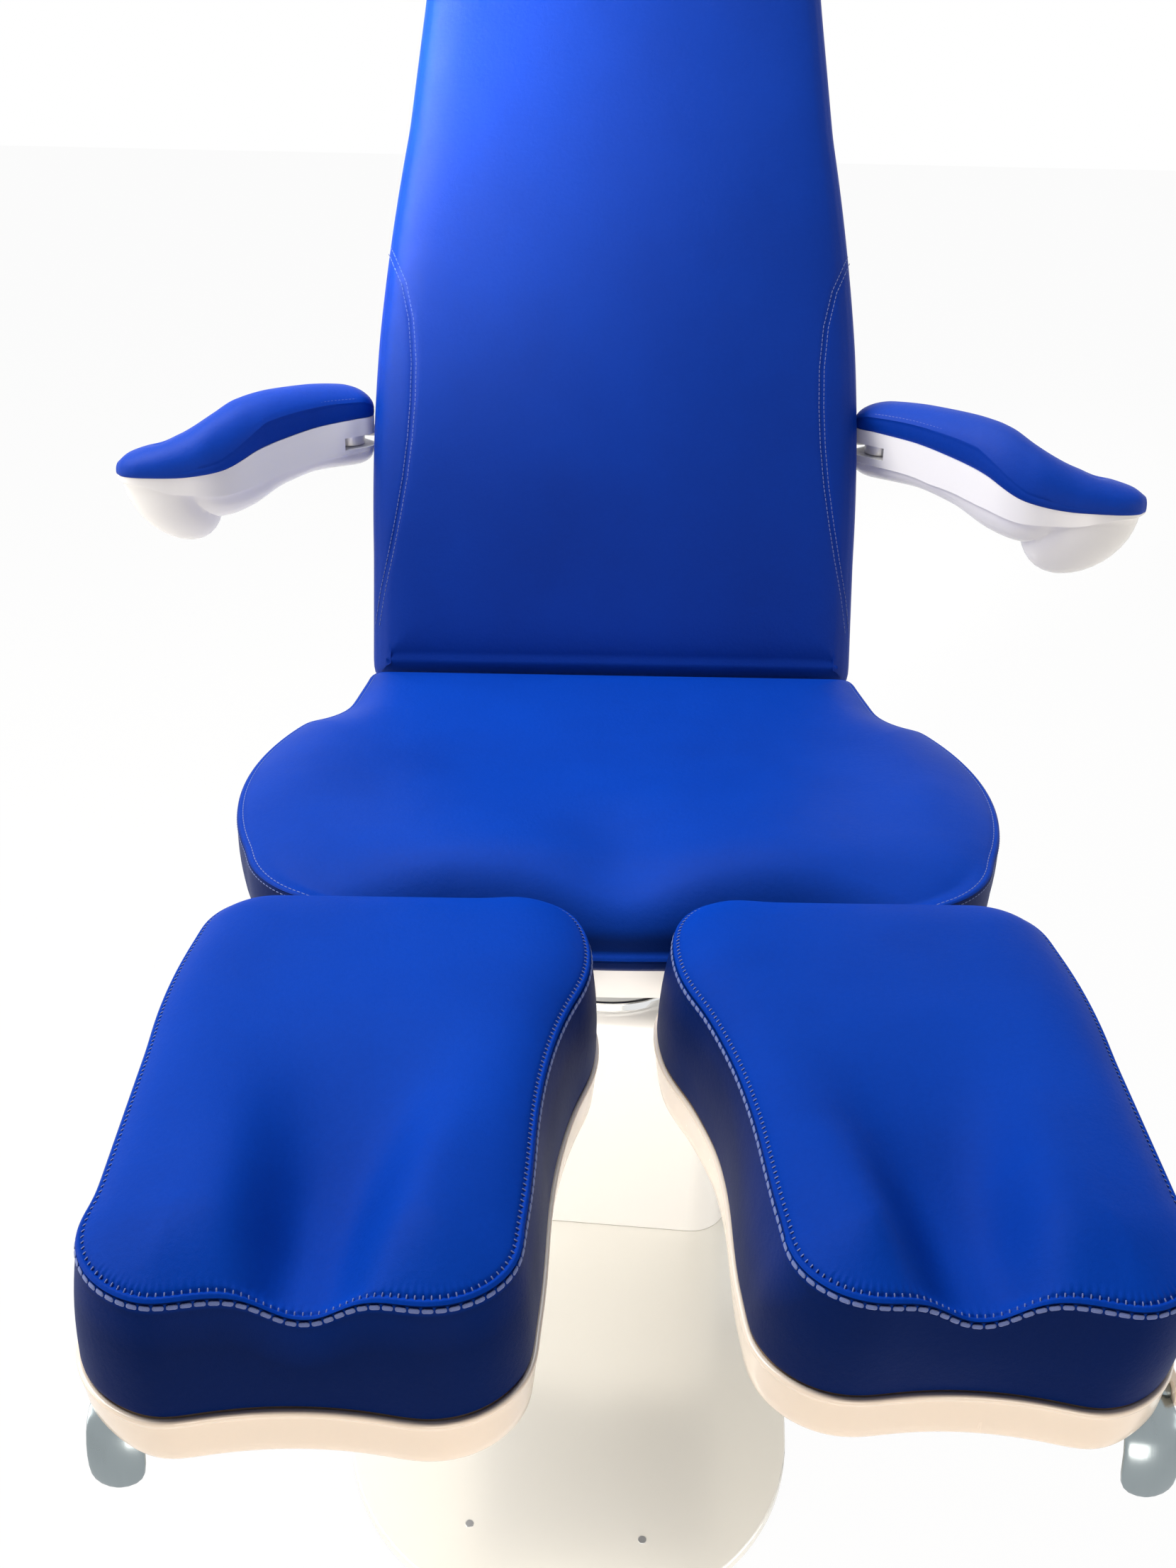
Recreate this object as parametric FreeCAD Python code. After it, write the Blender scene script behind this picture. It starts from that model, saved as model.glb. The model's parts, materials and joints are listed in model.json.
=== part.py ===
# Podiatry chair: telescopic column on a flat plate, swivelling seat, reclining back,
# two swing armrests and two divided leg rests. Millimetres, +Z up, the front faces -Y.
# The origin is on the floor, on the swivel axis.
import FreeCAD, Part
import math
import os

V = FreeCAD.Vector
RIGHT = 1
LEFT = -1
SIDES = {"right": RIGHT, "left": LEFT}

# Clearances that serve the whole chair
OVERRUN = 5.0
PASS_GAP = 0.3
PIN_GAP = 0.05

# Base plate, turned a little against the seat
BASE_TURN_DEG = -5.5
PLATE_HALF_WIDTH = 200.0
PLATE_FRONT_REACH = 370.0
PLATE_REAR_REACH = 110.0
PLATE_THICK = 10.0
PLATE_EDGE_ROUND = 1.5
PAD_THICK = 4.0
PAD_INSET = 6.0
PLATE_SCREW_SPACING = 150.0
PLATE_SCREW_REACH = 488.0
PLATE_SCREW_RADIUS = 3.5
PLATE_SCREW_LENGTH = 8.0
PLATE_SCREW_STAND = 0.8
INLET_WIDTH = 60.0
INLET_DEPTH = 42.0
INLET_HEIGHT = 32.0
INLET_REACH = 165.0
INLET_SOCKET_WIDTH = 28.0
INLET_SOCKET_HEIGHT = 20.0
INLET_SOCKET_DEPTH = 16.0

# Column: cover sleeves, square tubes, screw stages
LIFT_TRAVEL = 300.0
COVER_WIDTH = 280.0
COVER_DEPTH = 216.0
COVER_CORNER = 40.0
COVER_WALL = 3.0
COVER_TOP_ROUND = 24.0
COVER_TOP_Z = 286.0
COVER_FOOT_GAP = 0.5
SLEEVE_GAP = 0.5
SLEEVE_DROP = 4.0
TUBE_WIDTH = 130.0
TUBE_WALL = 5.0
FOOT_WIDTH = 240.0
FOOT_DEPTH = 170.0
FOOT_THICK = 12.0
FOOT_BOLT_RADIUS = 6.0
FOOT_BOLT_HEAD_RADIUS = 9.0
FOOT_BOLT_HEAD = 6.0
FOOT_BOLT_INSET = 14.0
OUTER_TUBE_TOP_Z = 240.0
MIDDLE_TUBE_FOOT_Z = 40.0
STAGE_STEP = 5.0
FLANGE_THICK = 6.0
FLANGE_WIDTH = 160.0
FLANGE_DEPTH = 150.0
SCREW_RADIUS = 9.0
SCREW_TUBE_WALL = 4.0
SCREW_TOP_Z = 235.0
PUSH_TUBE_FOOT_Z = 60.0
MOTOR_RADIUS = 24.0
MOTOR_HEIGHT = 150.0
MOTOR_REACH = 95.0
CONTROL_THICK = 46.0
CONTROL_DEPTH = 110.0
CONTROL_HEIGHT = 120.0

# Swivel
RING_RADIUS = 102.0
RING_HEIGHT = 12.0
RING_EDGE_ROUND = 3.0
BEARING_RADIUS = 55.0
SHAFT_RADIUS = 40.0
SWIVEL_PLATE_RADIUS = 86.0
SWIVEL_PLATE_THICK = 7.0
SWIVEL_SHADOW_GAP = 2.0

# Seat
CUSHION_BASE_Z = 484.0
SEAT_HALF_WIDTH = 342.0
SEAT_REAR_Y = 150.0
SEAT_LENGTH = 477.0
SEAT_SEAM_HEIGHT = 61.0
SEAT_TUCK = 8.0
SEAT_CROWN = 15.0
SEAT_CROWN_RUN = 110.0
SEAT_OUTLINE_SHARES = (
    ("start", (0.0, 0.0)),
    ("line", (0.716, 0.0)),
    ("arc", (0.746, 0.008), (0.754, 0.034)),
    ("line", (0.781, 0.176)),
    ("arc", (0.819, 0.235), (0.895, 0.270)),
    ("arc", (1.0, 0.503), (0.930, 0.818)),
    ("arc", (0.833, 0.937), (0.658, 0.990)),
    ("line", (0.0, 1.0)),
)
FRAME_HEIGHT = 25.0
RAIL_WIDTH = 24.0
RAIL_SPREAD = 75.0
FRAME_FRONT_INSET = 32.0
FRAME_SIDE_REACH = 230.0
SEAT_COVER_WALL = 3.0
COVER_OPENING_HALF = 140.0
COVER_OPENING_FRONT_Y = -190.0
ACTUATOR_MEMBER_Y = -150.0
HEAD_WIDTH = 120.0
HEAD_WALL = 6.0
HEAD_PLATE_WIDTH = 190.0
HEAD_PLATE_DEPTH = 180.0
HEAD_PLATE_THICK = 8.0
SEAT_BOLT_RADIUS = 5.0
SEAT_BOLT_HEAD_RADIUS = 8.0
SEAT_BOLT_HEAD = 6.0
SEAT_BOLT_GRIP = 12.0

# Backrest, drawn upright and then leaned back
BACK_LEAN_DEG = 20.0
BACK_FOOT_Y = 159.0
BACK_FOOT_Z = 545.0
BACK_HALF_WIDTH = 257.0
BACK_LENGTH = 800.0
BACK_THICK = 70.0
BACK_SEAM_DEPTH = 12.0
BACK_TUCK = 10.0
BACK_CROWN_RUN = 80.0
BACK_OUTLINE_SHARES = (
    ("start", (0.0, 0.0)),
    ("line", (0.887, 0.0)),
    ("arc", (0.965, 0.010), (0.996, 0.0375)),
    ("line", (1.0, 0.156)),
    ("arc", (1.0, 0.294), (0.977, 0.435)),
    ("arc", (0.930, 0.5625), (0.856, 0.706)),
    ("line", (0.794, 0.8625)),
    ("line", (0.770, 0.931)),
    ("arc", (0.712, 0.981), (0.545, 1.0)),
    ("line", (0.0, 1.0)),
)
BACK_SHELL_DEPTH = 36.0
BACK_SHELL_WALL = 3.0
BACK_SHELL_INSET = 14.0
BACK_SHELL_FOOT = 32.0
UPRIGHT_SPREAD = 76.0
UPRIGHT_WIDTH = 30.0
UPRIGHT_DEPTH = 20.0
UPRIGHT_FOOT = 40.0
UPRIGHT_TOP = 640.0
CROSS_HEIGHT = 30.0
BACK_HINGE_Y = 185.0
BACK_HINGE_Z = 505.0
BACK_HINGE_RADIUS = 8.0
BACK_EAR_RADIUS = 14.0
BACK_EAR_THICK = 8.0
BACK_EAR_SPREAD = 124.0
LEVER_RADIUS = 85.0
LEVER_BACK_DEG = 33.0
LEVER_HALF = 9.0
LEVER_EAR_THICK = 6.0
LEVER_EAR_SPACE = 12.0

# Back actuator
ACTUATOR_X = 97.0
ACTUATOR_Z = 432.0
ACTUATOR_REAR_REACH = 62.0
ACTUATOR_BODY_RADIUS = 17.0
ACTUATOR_BODY_LENGTH = 250.0
ACTUATOR_WALL = 5.0
ACTUATOR_ROD_RADIUS = 9.0
ACTUATOR_EYE_RADIUS = 9.0
ACTUATOR_EYE_THICK = 10.0
ACTUATOR_LUG_THICK = 8.0

# Armrests, drawn pointing straight forward from their hinge
ARM_HINGE_X = 289.0
ARM_HINGE_Y = 292.0
ARM_SPLIT_Z = 788.0
ARM_LENGTH = 275.0
ARM_HALF_WIDTH = 30.0
ARM_SPLIT_DROP = 31.0
ARM_PAD_RISE = 34.0
ARM_BULB_DEPTH = 96.0
ARM_EDGE_HEIGHT = 6.0
ARM_SHELL_INSET = 2.5
ARM_OUT_RIGHT_DEG = 43.0
ARM_OUT_LEFT_DEG = 46.0
ARM_PIN_RADIUS = 8.0
ARM_KNUCKLE_RADIUS = 28.0
ARM_EYE_RADIUS = 16.0
ARM_EYE_THICK = 11.4
ARM_EYE_Z = 763.0
ARM_BRACKET_WIDTH = 16.0
ARM_BRACKET_Y = 322.0
# along, outward, turn of the section as a share of a quarter turn, half width,
# drop of the split line, top above the root's split line, bottom below it
ARM_STATION_SHARES = (
    (-0.100, 0.0, 0.0, 0.40, 0.0, 0.29, 0.47),
    (-0.060, 0.0, 0.0, 0.80, 0.0, 0.59, 0.50),
    (0.0, 0.0, 0.0, 0.93, 0.0, 0.76, 0.52),
    (0.20, 0.012, 0.0, 0.90, 0.03, 1.0, 0.49),
    (0.38, 0.015, 0.0, 0.93, 0.16, 1.0, 0.50),
    (0.54, 0.020, 0.11, 1.02, 0.42, 0.76, 0.62),
    (0.66, 0.040, 0.30, 1.10, 0.70, 0.40, 0.80),
    (0.79, 0.115, 0.46, 1.05, 0.94, -0.06, 1.0),
    (0.90, 0.195, 0.52, 0.92, 1.0, -0.38, 0.94),
    (0.965, 0.245, 0.54, 0.62, 1.0, -0.62, 0.70),
    (0.99, 0.262, 0.54, 0.30, 1.0, -0.74, 0.50),
)
ARM_SHELL_FOOT_SHARE = 0.45

# Leg rests: outline of the right one
LEG_INNER_X = 27.0
LEG_WIDTH = 301.0
LEG_SEAT_GAP = 20.0
LEG_LENGTH = 424.0
LEG_SEAM_HEIGHT = 81.0
LEG_FLARE = 7.0
LEG_CROWN = 18.0
LEG_CROWN_RUN = 70.0
LEG_OUTLINE_SHARES = (
    ("start", (0.259, 0.0)),
    ("line", (0.781, 0.0)),
    ("arc", (0.927, 0.035), (0.980, 0.130)),
    ("arc", (1.0, 0.290), (0.993, 0.455)),
    ("line", (0.977, 0.809)),
    ("arc", (0.950, 0.939), (0.814, 1.0)),
    ("arc", (0.575, 0.976), (0.375, 0.995)),
    ("arc", (0.236, 0.967), (0.183, 0.868)),
    ("line", (0.153, 0.656)),
    ("arc", (0.106, 0.474), (0.037, 0.314)),
    ("arc", (0.0, 0.196), (0.023, 0.083)),
    ("arc", (0.096, 0.014), (0.259, 0.0)),
)
# Calf channel: place along the leg rest, centre across it, width and depth shares
GROOVE_WIDTH = 190.0
GROOVE_DEPTH = 40.0
GROOVE_SHARES = (
    (1.03, 0.575, 0.50, 1.0),
    (0.86, 0.560, 0.58, 0.90),
    (0.66, 0.545, 0.80, 0.55),
    (0.44, 0.535, 1.0, 0.10),
)
LEG_SHELL_HEIGHT = 26.0
LEG_SHELL_WALL = 4.0
LEG_SHELL_LIP = 2.0
LEG_BOARD_THICK = 12.0
LEG_HINGE_INSET = 9.0
LEG_HINGE_Z = 424.0
LEG_PIN_RADIUS = 7.0
LEG_BARREL_RADIUS = 13.0
LEG_BRACKET_HALF = 70.0
LEG_BRACKET_THICK = 6.0
LEG_BRACKET_DEPTH = 56.0
LEG_ARM_THICK = 12.0
LEG_ARM_REACH = 137.0
LEG_ARM_MARGIN = 9.0
LEG_PIVOT_ACROSS = 148.0
LEG_PIVOT_REACH = 82.0
LEG_PIVOT_RADIUS = 10.0
LEG_PIVOT_HEAD_RADIUS = 16.0
LEG_PIVOT_HEAD = 6.0
GUIDE_INSET = 3.0
GUIDE_LENGTH = 210.0
GUIDE_HALF_WIDTH = 60.0
GUIDE_WALL = 4.0
GUIDE_HEIGHT = 25.0
RUNNER_WIDTH = 12.0
RUNNER_FRONT_INSET = 66.0
CATCH_SIDE_INSET = 20.0
CATCH_END_INSET = 55.0
CATCH_DROP = 9.0
CATCH_BARREL_RADIUS = 5.0
CATCH_PIN_RADIUS = 3.0
CATCH_WIDTH = 34.0
CATCH_THICK = 4.0
CATCH_REACH = 34.0
CATCH_HANG = 54.0
CATCH_BEND = 14.0
CATCH_EAR_THICK = 4.0

# Heights and places that follow from the sizes above
PLATE_TOP_Z = PAD_THICK + PLATE_THICK
FOOT_TOP_Z = PLATE_TOP_Z + FOOT_THICK
FLANGE_TOP_Z = COVER_TOP_Z - COVER_WALL
FLANGE_BASE_Z = FLANGE_TOP_Z - FLANGE_THICK
RING_TOP_Z = COVER_TOP_Z + RING_HEIGHT
SWIVEL_PLATE_Z = RING_TOP_Z + SWIVEL_SHADOW_GAP
HEAD_BASE_Z = SWIVEL_PLATE_Z + SWIVEL_PLATE_THICK
FRAME_BASE_Z = CUSHION_BASE_Z - FRAME_HEIGHT
SEAT_COVER_BASE_Z = FRAME_BASE_Z - SEAT_COVER_WALL
LEG_SHELL_BASE_Z = CUSHION_BASE_Z - LEG_SHELL_HEIGHT
SEAT_FRONT_Y = SEAT_REAR_Y - SEAT_LENGTH
FRAME_FRONT_Y = SEAT_FRONT_Y + FRAME_FRONT_INSET
LEG_REAR_Y = SEAT_FRONT_Y - LEG_SEAT_GAP
LEG_HINGE_Y = SEAT_FRONT_Y + LEG_HINGE_INSET
LEG_BRACKET_REAR_Y = LEG_HINGE_Y + LEG_BRACKET_DEPTH
LEG_ARM_FRONT_Y = LEG_HINGE_Y - LEG_ARM_REACH
LEG_PIVOT_X = LEG_INNER_X + LEG_PIVOT_ACROSS
LEG_PIVOT_Y = LEG_HINGE_Y - LEG_PIVOT_REACH
LEG_BRACKET_INNER_X = LEG_PIVOT_X - LEG_BRACKET_HALF
LEG_BRACKET_OUTER_X = LEG_PIVOT_X + LEG_BRACKET_HALF
GUIDE_REAR_Y = LEG_REAR_Y - GUIDE_INSET
RUNNER_FRONT_Y = LEG_REAR_Y - LEG_LENGTH + RUNNER_FRONT_INSET
CATCH_X = LEG_INNER_X + LEG_WIDTH - CATCH_SIDE_INSET
CATCH_Y = LEG_REAR_Y - LEG_LENGTH + CATCH_END_INSET
LEG_ARM_BASE_Z = LEG_HINGE_Z - LEG_ARM_THICK / 2
LEG_ARM_TOP_Z = LEG_HINGE_Z + LEG_ARM_THICK / 2
GUIDE_BASE_Z = LEG_ARM_TOP_Z + PASS_GAP
CATCH_Z = LEG_SHELL_BASE_Z - CATCH_DROP

# Crown of every cushion: inset share of the crown's run, rise share of the crown
CROWN_SHARES = ((0.0, 0.0), (0.10, 0.42), (0.36, 0.82), (1.0, 1.0))


def save(name, shape):
    """Write one sub-part, refusing anything that is not a sound solid."""
    if not shape.isValid() or not shape.Solids:
        raise ValueError(name + " is not a valid solid")
    shape.exportStep(os.path.join("parts", name + ".step"))


def block(x_span, y_span, z_span):
    """A box between two limits on each axis."""
    low = V(min(x_span), min(y_span), min(z_span))
    high = V(max(x_span), max(y_span), max(z_span))
    size = high - low
    return Part.makeBox(size.x, size.y, size.z, low)


def centred(width, depth, z_span):
    """A box centred on the Z axis."""
    return block((-width / 2, width / 2), (-depth / 2, depth / 2), z_span)


def post(radius, z_span, x=0.0, y=0.0):
    """An upright cylinder."""
    return Part.makeCylinder(radius, max(z_span) - min(z_span), V(x, y, min(z_span)))


def cross_rod(radius, x_span, y, z):
    """A cylinder along X."""
    length = max(x_span) - min(x_span)
    return Part.makeCylinder(radius, length, V(min(x_span), y, z), V(1, 0, 0))


def side_plate(points, x_span):
    """A polygon of (y, z) points, extruded along X."""
    low = min(x_span)
    corners = [V(low, y, z) for y, z in points]
    face = Part.Face(Part.makePolygon(corners + corners[:1]))
    return face.extrude(V(max(x_span) - low, 0, 0))


def round_bar(width, depth, radius, z_span):
    """A box on the Z axis with rounded upright edges."""
    body = centred(width, depth, z_span)
    height = max(z_span) - min(z_span)
    upright = [e for e in body.Edges if e.BoundBox.ZLength > height / 2]
    return body.makeFillet(radius, upright)


def turned_base(shape):
    """Turn a piece of the base with the plate."""
    turned = shape.copy()
    turned.rotate(V(0, 0, 0), V(0, 0, 1), BASE_TURN_DEG)
    return turned


def on_side(shape, side):
    """Keep a right-hand piece, or mirror it for the left."""
    if side == RIGHT:
        return shape
    return shape.mirror(V(0, 0, 0), V(1, 0, 0))


def leaned(shape):
    """Move a piece drawn upright on the back's foot to its leaning place."""
    moved = shape.copy()
    moved.rotate(V(0, 0, 0), V(1, 0, 0), -BACK_LEAN_DEG)
    moved.translate(V(0, BACK_FOOT_Y, BACK_FOOT_Z))
    return moved


def back_local(y, z):
    """A chair point in the coordinates in which the upright back is drawn."""
    lean = math.radians(BACK_LEAN_DEG)
    forward = y - BACK_FOOT_Y
    up = z - BACK_FOOT_Z
    local_y = forward * math.cos(lean) - up * math.sin(lean)
    local_z = forward * math.sin(lean) + up * math.cos(lean)
    return local_y, local_z


def both_halves(half):
    """Close a half outline, given from one end of its axis to the other."""
    path = [half[0][1]] + [segment[-1] for segment in half[1:]]
    whole = list(half)
    for index in range(len(half) - 1, 0, -1):
        segment = half[index]
        end = (-path[index - 1][0], path[index - 1][1])
        if segment[0] == "arc":
            whole.append(("arc", (-segment[1][0], segment[1][1]), end))
        else:
            whole.append(("line", end))
    return whole


def outline_wire(outline, place):
    """A closed wire of lines and arcs; place turns a share pair into a point."""
    here = place(*outline[0][1])
    edges = []
    for segment in outline[1:]:
        there = place(*segment[-1])
        if segment[0] == "arc":
            edges.append(Part.Arc(here, place(*segment[1]), there).toShape())
        else:
            edges.append(Part.LineSegment(here, there).toShape())
        here = there
    return Part.Wire(edges)


def cushion_levels(seam, foot_inset, crown, run):
    """Heights and insets of a cushion: foot, seam, then the crown."""
    levels = [(0.0, foot_inset)]
    for inset_share, rise_share in CROWN_SHARES:
        levels.append((seam + crown * rise_share, run * inset_share))
    return levels


def stack(outline, placer, levels):
    """Loft one outline through heights and insets."""
    wires = []
    for height, inset in levels:
        wires.append(outline_wire(outline, placer(height, inset)))
    return Part.makeLoft(wires, True, True)


def seat_placer(height, inset):
    """Seat outline shares to points, drawn in by the inset all round."""
    across = SEAT_HALF_WIDTH - inset
    along = SEAT_LENGTH - 2 * inset

    def place(x_share, y_share):
        y = SEAT_REAR_Y - inset - along * y_share
        return V(across * x_share, y, CUSHION_BASE_Z + height)

    return place


def leg_placer(height, inset):
    """Leg rest outline shares to points, drawn in by the inset all round."""
    across = LEG_WIDTH - 2 * inset
    along = LEG_LENGTH - 2 * inset

    def place(x_share, y_share):
        x = LEG_INNER_X + inset + across * x_share
        y = LEG_REAR_Y - inset - along * y_share
        return V(x, y, CUSHION_BASE_Z + height)

    return place


def back_placer(depth, inset):
    """Back outline shares to points of the upright back, at a depth from its front."""
    across = BACK_HALF_WIDTH - inset
    along = BACK_LENGTH - 2 * inset

    def place(x_share, z_share):
        return V(across * x_share, depth, inset + along * z_share)

    return place


def tray(outline, placer, base, rim, wall, inset):
    """A tray of one outline, with a floor and walls; base and rim are placer heights."""
    outer = stack(outline, placer, [(base, inset), (rim, inset)])
    direction = 1 if rim > base else -1
    floor = base + wall * direction
    past = rim + OVERRUN * direction
    hollow = stack(outline, placer, [(floor, inset + wall), (past, inset + wall)])
    return outer.cut(hollow)


def plate_outline(half_width, z_span, edge=0.0):
    """The plate's long round-ended shape."""
    height = max(z_span) - min(z_span)
    front = post(half_width, z_span, 0.0, -PLATE_FRONT_REACH)
    rear = post(half_width, z_span, 0.0, PLATE_REAR_REACH)
    middle = block((-half_width, half_width), (-PLATE_FRONT_REACH, PLATE_REAR_REACH), z_span)
    shape = front.fuse([rear, middle]).removeSplitter()
    if edge:
        top = min(z_span) + height
        rim = [e for e in shape.Edges if abs(e.BoundBox.ZMin - top) < edge / 2]
        rim = [e for e in rim if e.BoundBox.ZMax - e.BoundBox.ZMin < edge / 2]
        shape = shape.makeFillet(edge, rim)
    return shape


def plate_screw_places():
    """Centres of the two screws at the plate's front."""
    half = PLATE_SCREW_SPACING / 2
    return [(-half, -PLATE_SCREW_REACH), (half, -PLATE_SCREW_REACH)]


def base_plate():
    """Steel plate with sunk screw holes."""
    plate = plate_outline(PLATE_HALF_WIDTH, (PAD_THICK, PLATE_TOP_Z), PLATE_EDGE_ROUND)
    for x, y in plate_screw_places():
        hole = (PLATE_TOP_Z - PLATE_SCREW_LENGTH, PLATE_TOP_Z + OVERRUN)
        plate = plate.cut(post(PLATE_SCREW_RADIUS, hole, x, y))
    return turned_base(plate)


def floor_pad():
    """Rubber pad under the whole plate."""
    return turned_base(plate_outline(PLATE_HALF_WIDTH - PAD_INSET, (0.0, PAD_THICK)))


def plate_screws():
    """Two small screws, as separate solids."""
    span = (PLATE_TOP_Z - PLATE_SCREW_LENGTH, PLATE_TOP_Z + PLATE_SCREW_STAND)
    solids = [post(PLATE_SCREW_RADIUS, span, x, y) for x, y in plate_screw_places()]
    return turned_base(Part.makeCompound(solids))


def power_inlet():
    """Inlet housing on the plate behind the column, with an open socket."""
    half = INLET_WIDTH / 2
    top = PLATE_TOP_Z + INLET_HEIGHT
    body = block((-half, half), (INLET_REACH - INLET_DEPTH, INLET_REACH), (PLATE_TOP_Z, top))
    middle = PLATE_TOP_Z + INLET_HEIGHT / 2
    socket = block(
        (-INLET_SOCKET_WIDTH / 2, INLET_SOCKET_WIDTH / 2),
        (INLET_REACH - INLET_SOCKET_DEPTH, INLET_REACH + OVERRUN),
        (middle - INLET_SOCKET_HEIGHT / 2, middle + INLET_SOCKET_HEIGHT / 2),
    )
    return turned_base(body.cut(socket))


def foot_bolt_places():
    """Centres of the four bolts in the column's foot."""
    x = FOOT_WIDTH / 2 - FOOT_BOLT_INSET
    y = FOOT_DEPTH / 2 - FOOT_BOLT_INSET
    return [(-x, -y), (x, -y), (-x, y), (x, y)]


def square_tube(width, z_span):
    """A square tube of the column."""
    inner = width - 2 * TUBE_WALL
    past = (min(z_span) - OVERRUN, max(z_span) + OVERRUN)
    return centred(width, width, z_span).cut(centred(inner, inner, past))


def tube_width(stage):
    """Outer width of the column tube: stage 0 is outermost."""
    return TUBE_WIDTH - stage * 2 * (TUBE_WALL + PASS_GAP)


def screw_tube(stage, z_span):
    """A round screw stage running on the one inside it."""
    inner = SCREW_RADIUS + PIN_GAP + (stage - 1) * (SCREW_TUBE_WALL + PIN_GAP)
    past = (min(z_span) - OVERRUN, max(z_span) + OVERRUN)
    return post(inner + SCREW_TUBE_WALL, z_span).cut(post(inner, past))


def column_outer_tube():
    """Foot flange and fixed outer tube, welded."""
    foot = centred(FOOT_WIDTH, FOOT_DEPTH, (PLATE_TOP_Z, FOOT_TOP_Z))
    for x, y in foot_bolt_places():
        past = (PLATE_TOP_Z - OVERRUN, FOOT_TOP_Z + OVERRUN)
        foot = foot.cut(post(FOOT_BOLT_RADIUS, past, x, y))
    tube = square_tube(tube_width(0), (FOOT_TOP_Z, OUTER_TUBE_TOP_Z))
    return turned_base(foot.fuse(tube))


def foot_bolts():
    """Four bolts, as separate solids."""
    bolts = []
    for x, y in foot_bolt_places():
        shank = post(FOOT_BOLT_RADIUS, (PLATE_TOP_Z, FOOT_TOP_Z), x, y)
        head = post(FOOT_BOLT_HEAD_RADIUS, (FOOT_TOP_Z, FOOT_TOP_Z + FOOT_BOLT_HEAD), x, y)
        bolts.append(shank.fuse(head))
    return turned_base(Part.makeCompound(bolts))


def sleeve(stage, z_span):
    """A cover sleeve open at both ends: stage 0 is the visible one."""
    shrink = stage * 2 * (COVER_WALL + SLEEVE_GAP)
    width = COVER_WIDTH - shrink
    depth = COVER_DEPTH - shrink
    corner = COVER_CORNER - shrink / 2
    past = (min(z_span) - OVERRUN, max(z_span) + OVERRUN)
    wall = 2 * COVER_WALL
    inner = round_bar(width - wall, depth - wall, corner - COVER_WALL, past)
    return round_bar(width, depth, corner, z_span).cut(inner)


def sleeve_span(stage):
    """Foot and top of a cover sleeve."""
    top = COVER_TOP_Z - COVER_TOP_ROUND - stage * SLEEVE_DROP
    return PLATE_TOP_Z + COVER_FOOT_GAP, top


def fixed_cover_sleeve():
    """Innermost sleeve, standing on the plate."""
    foot, top = sleeve_span(2)
    return turned_base(sleeve(2, (foot - COVER_FOOT_GAP, top)))


def middle_cover_sleeve():
    """Middle sleeve, carried with the middle tube."""
    return turned_base(sleeve(1, sleeve_span(1)))


def top_cover_sleeve():
    """Visible cover: rounded top with an opening for the swivel bearing."""
    foot = PLATE_TOP_Z + COVER_FOOT_GAP
    outer = round_bar(COVER_WIDTH, COVER_DEPTH, COVER_CORNER, (foot, COVER_TOP_Z))
    rim = [e for e in outer.Edges if e.BoundBox.ZMin > COVER_TOP_Z - COVER_WALL]
    outer = outer.makeFillet(COVER_TOP_ROUND, rim)
    wall = 2 * COVER_WALL
    corner = COVER_CORNER - COVER_WALL
    span = (foot - OVERRUN, FLANGE_TOP_Z)
    inner = round_bar(COVER_WIDTH - wall, COVER_DEPTH - wall, corner, span)
    rim = [e for e in inner.Edges if e.BoundBox.ZMin > FLANGE_TOP_Z - COVER_WALL]
    inner = inner.makeFillet(COVER_TOP_ROUND - COVER_WALL, rim)
    opening = post(BEARING_RADIUS, (FLANGE_BASE_Z, RING_TOP_Z))
    return turned_base(outer.cut(inner).cut(opening))


def lift_screw():
    """Fixed screw standing on the column's foot."""
    return post(SCREW_RADIUS, (FOOT_TOP_Z, SCREW_TOP_Z))


def lift_motor():
    """Motor beside the outer tube, on the foot."""
    return turned_base(post(MOTOR_RADIUS, (FOOT_TOP_Z, FOOT_TOP_Z + MOTOR_HEIGHT), MOTOR_REACH))


def control_box():
    """Electronics housing on the other side of the outer tube."""
    near = -TUBE_WIDTH / 2 - PASS_GAP
    half = CONTROL_DEPTH / 2
    top = FOOT_TOP_Z + CONTROL_HEIGHT
    return turned_base(block((near - CONTROL_THICK, near), (-half, half), (FOOT_TOP_Z, top)))


def column_middle_tube():
    """Middle tube with a web that carries the middle screw stage."""
    top = OUTER_TUBE_TOP_Z + STAGE_STEP
    width = tube_width(1)
    tube = square_tube(width, (MIDDLE_TUBE_FOOT_Z, top))
    web = (MIDDLE_TUBE_FOOT_Z, MIDDLE_TUBE_FOOT_Z + STAGE_STEP)
    inner = width - 2 * TUBE_WALL
    floor = centred(inner, inner, web)
    past = (MIDDLE_TUBE_FOOT_Z - OVERRUN, top)
    hole = post(SCREW_RADIUS + PIN_GAP, past)
    return turned_base(tube.fuse(floor).cut(hole))


def lift_middle_screw():
    """Middle screw stage, standing on the middle tube's web."""
    return screw_tube(1, (MIDDLE_TUBE_FOOT_Z + STAGE_STEP, SCREW_TOP_Z + STAGE_STEP))


def column_top_tube():
    """Top tube with the flange that carries cover and bearing."""
    foot = MIDDLE_TUBE_FOOT_Z + STAGE_STEP + PASS_GAP
    tube = square_tube(tube_width(2), (foot, FLANGE_BASE_Z))
    flange = centred(FLANGE_WIDTH, FLANGE_DEPTH, (FLANGE_BASE_Z, FLANGE_TOP_Z))
    return turned_base(tube.fuse(flange))


def lift_push_tube():
    """Last screw stage, which pushes the flange up."""
    return screw_tube(2, (PUSH_TUBE_FOOT_Z, FLANGE_BASE_Z))


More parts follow.
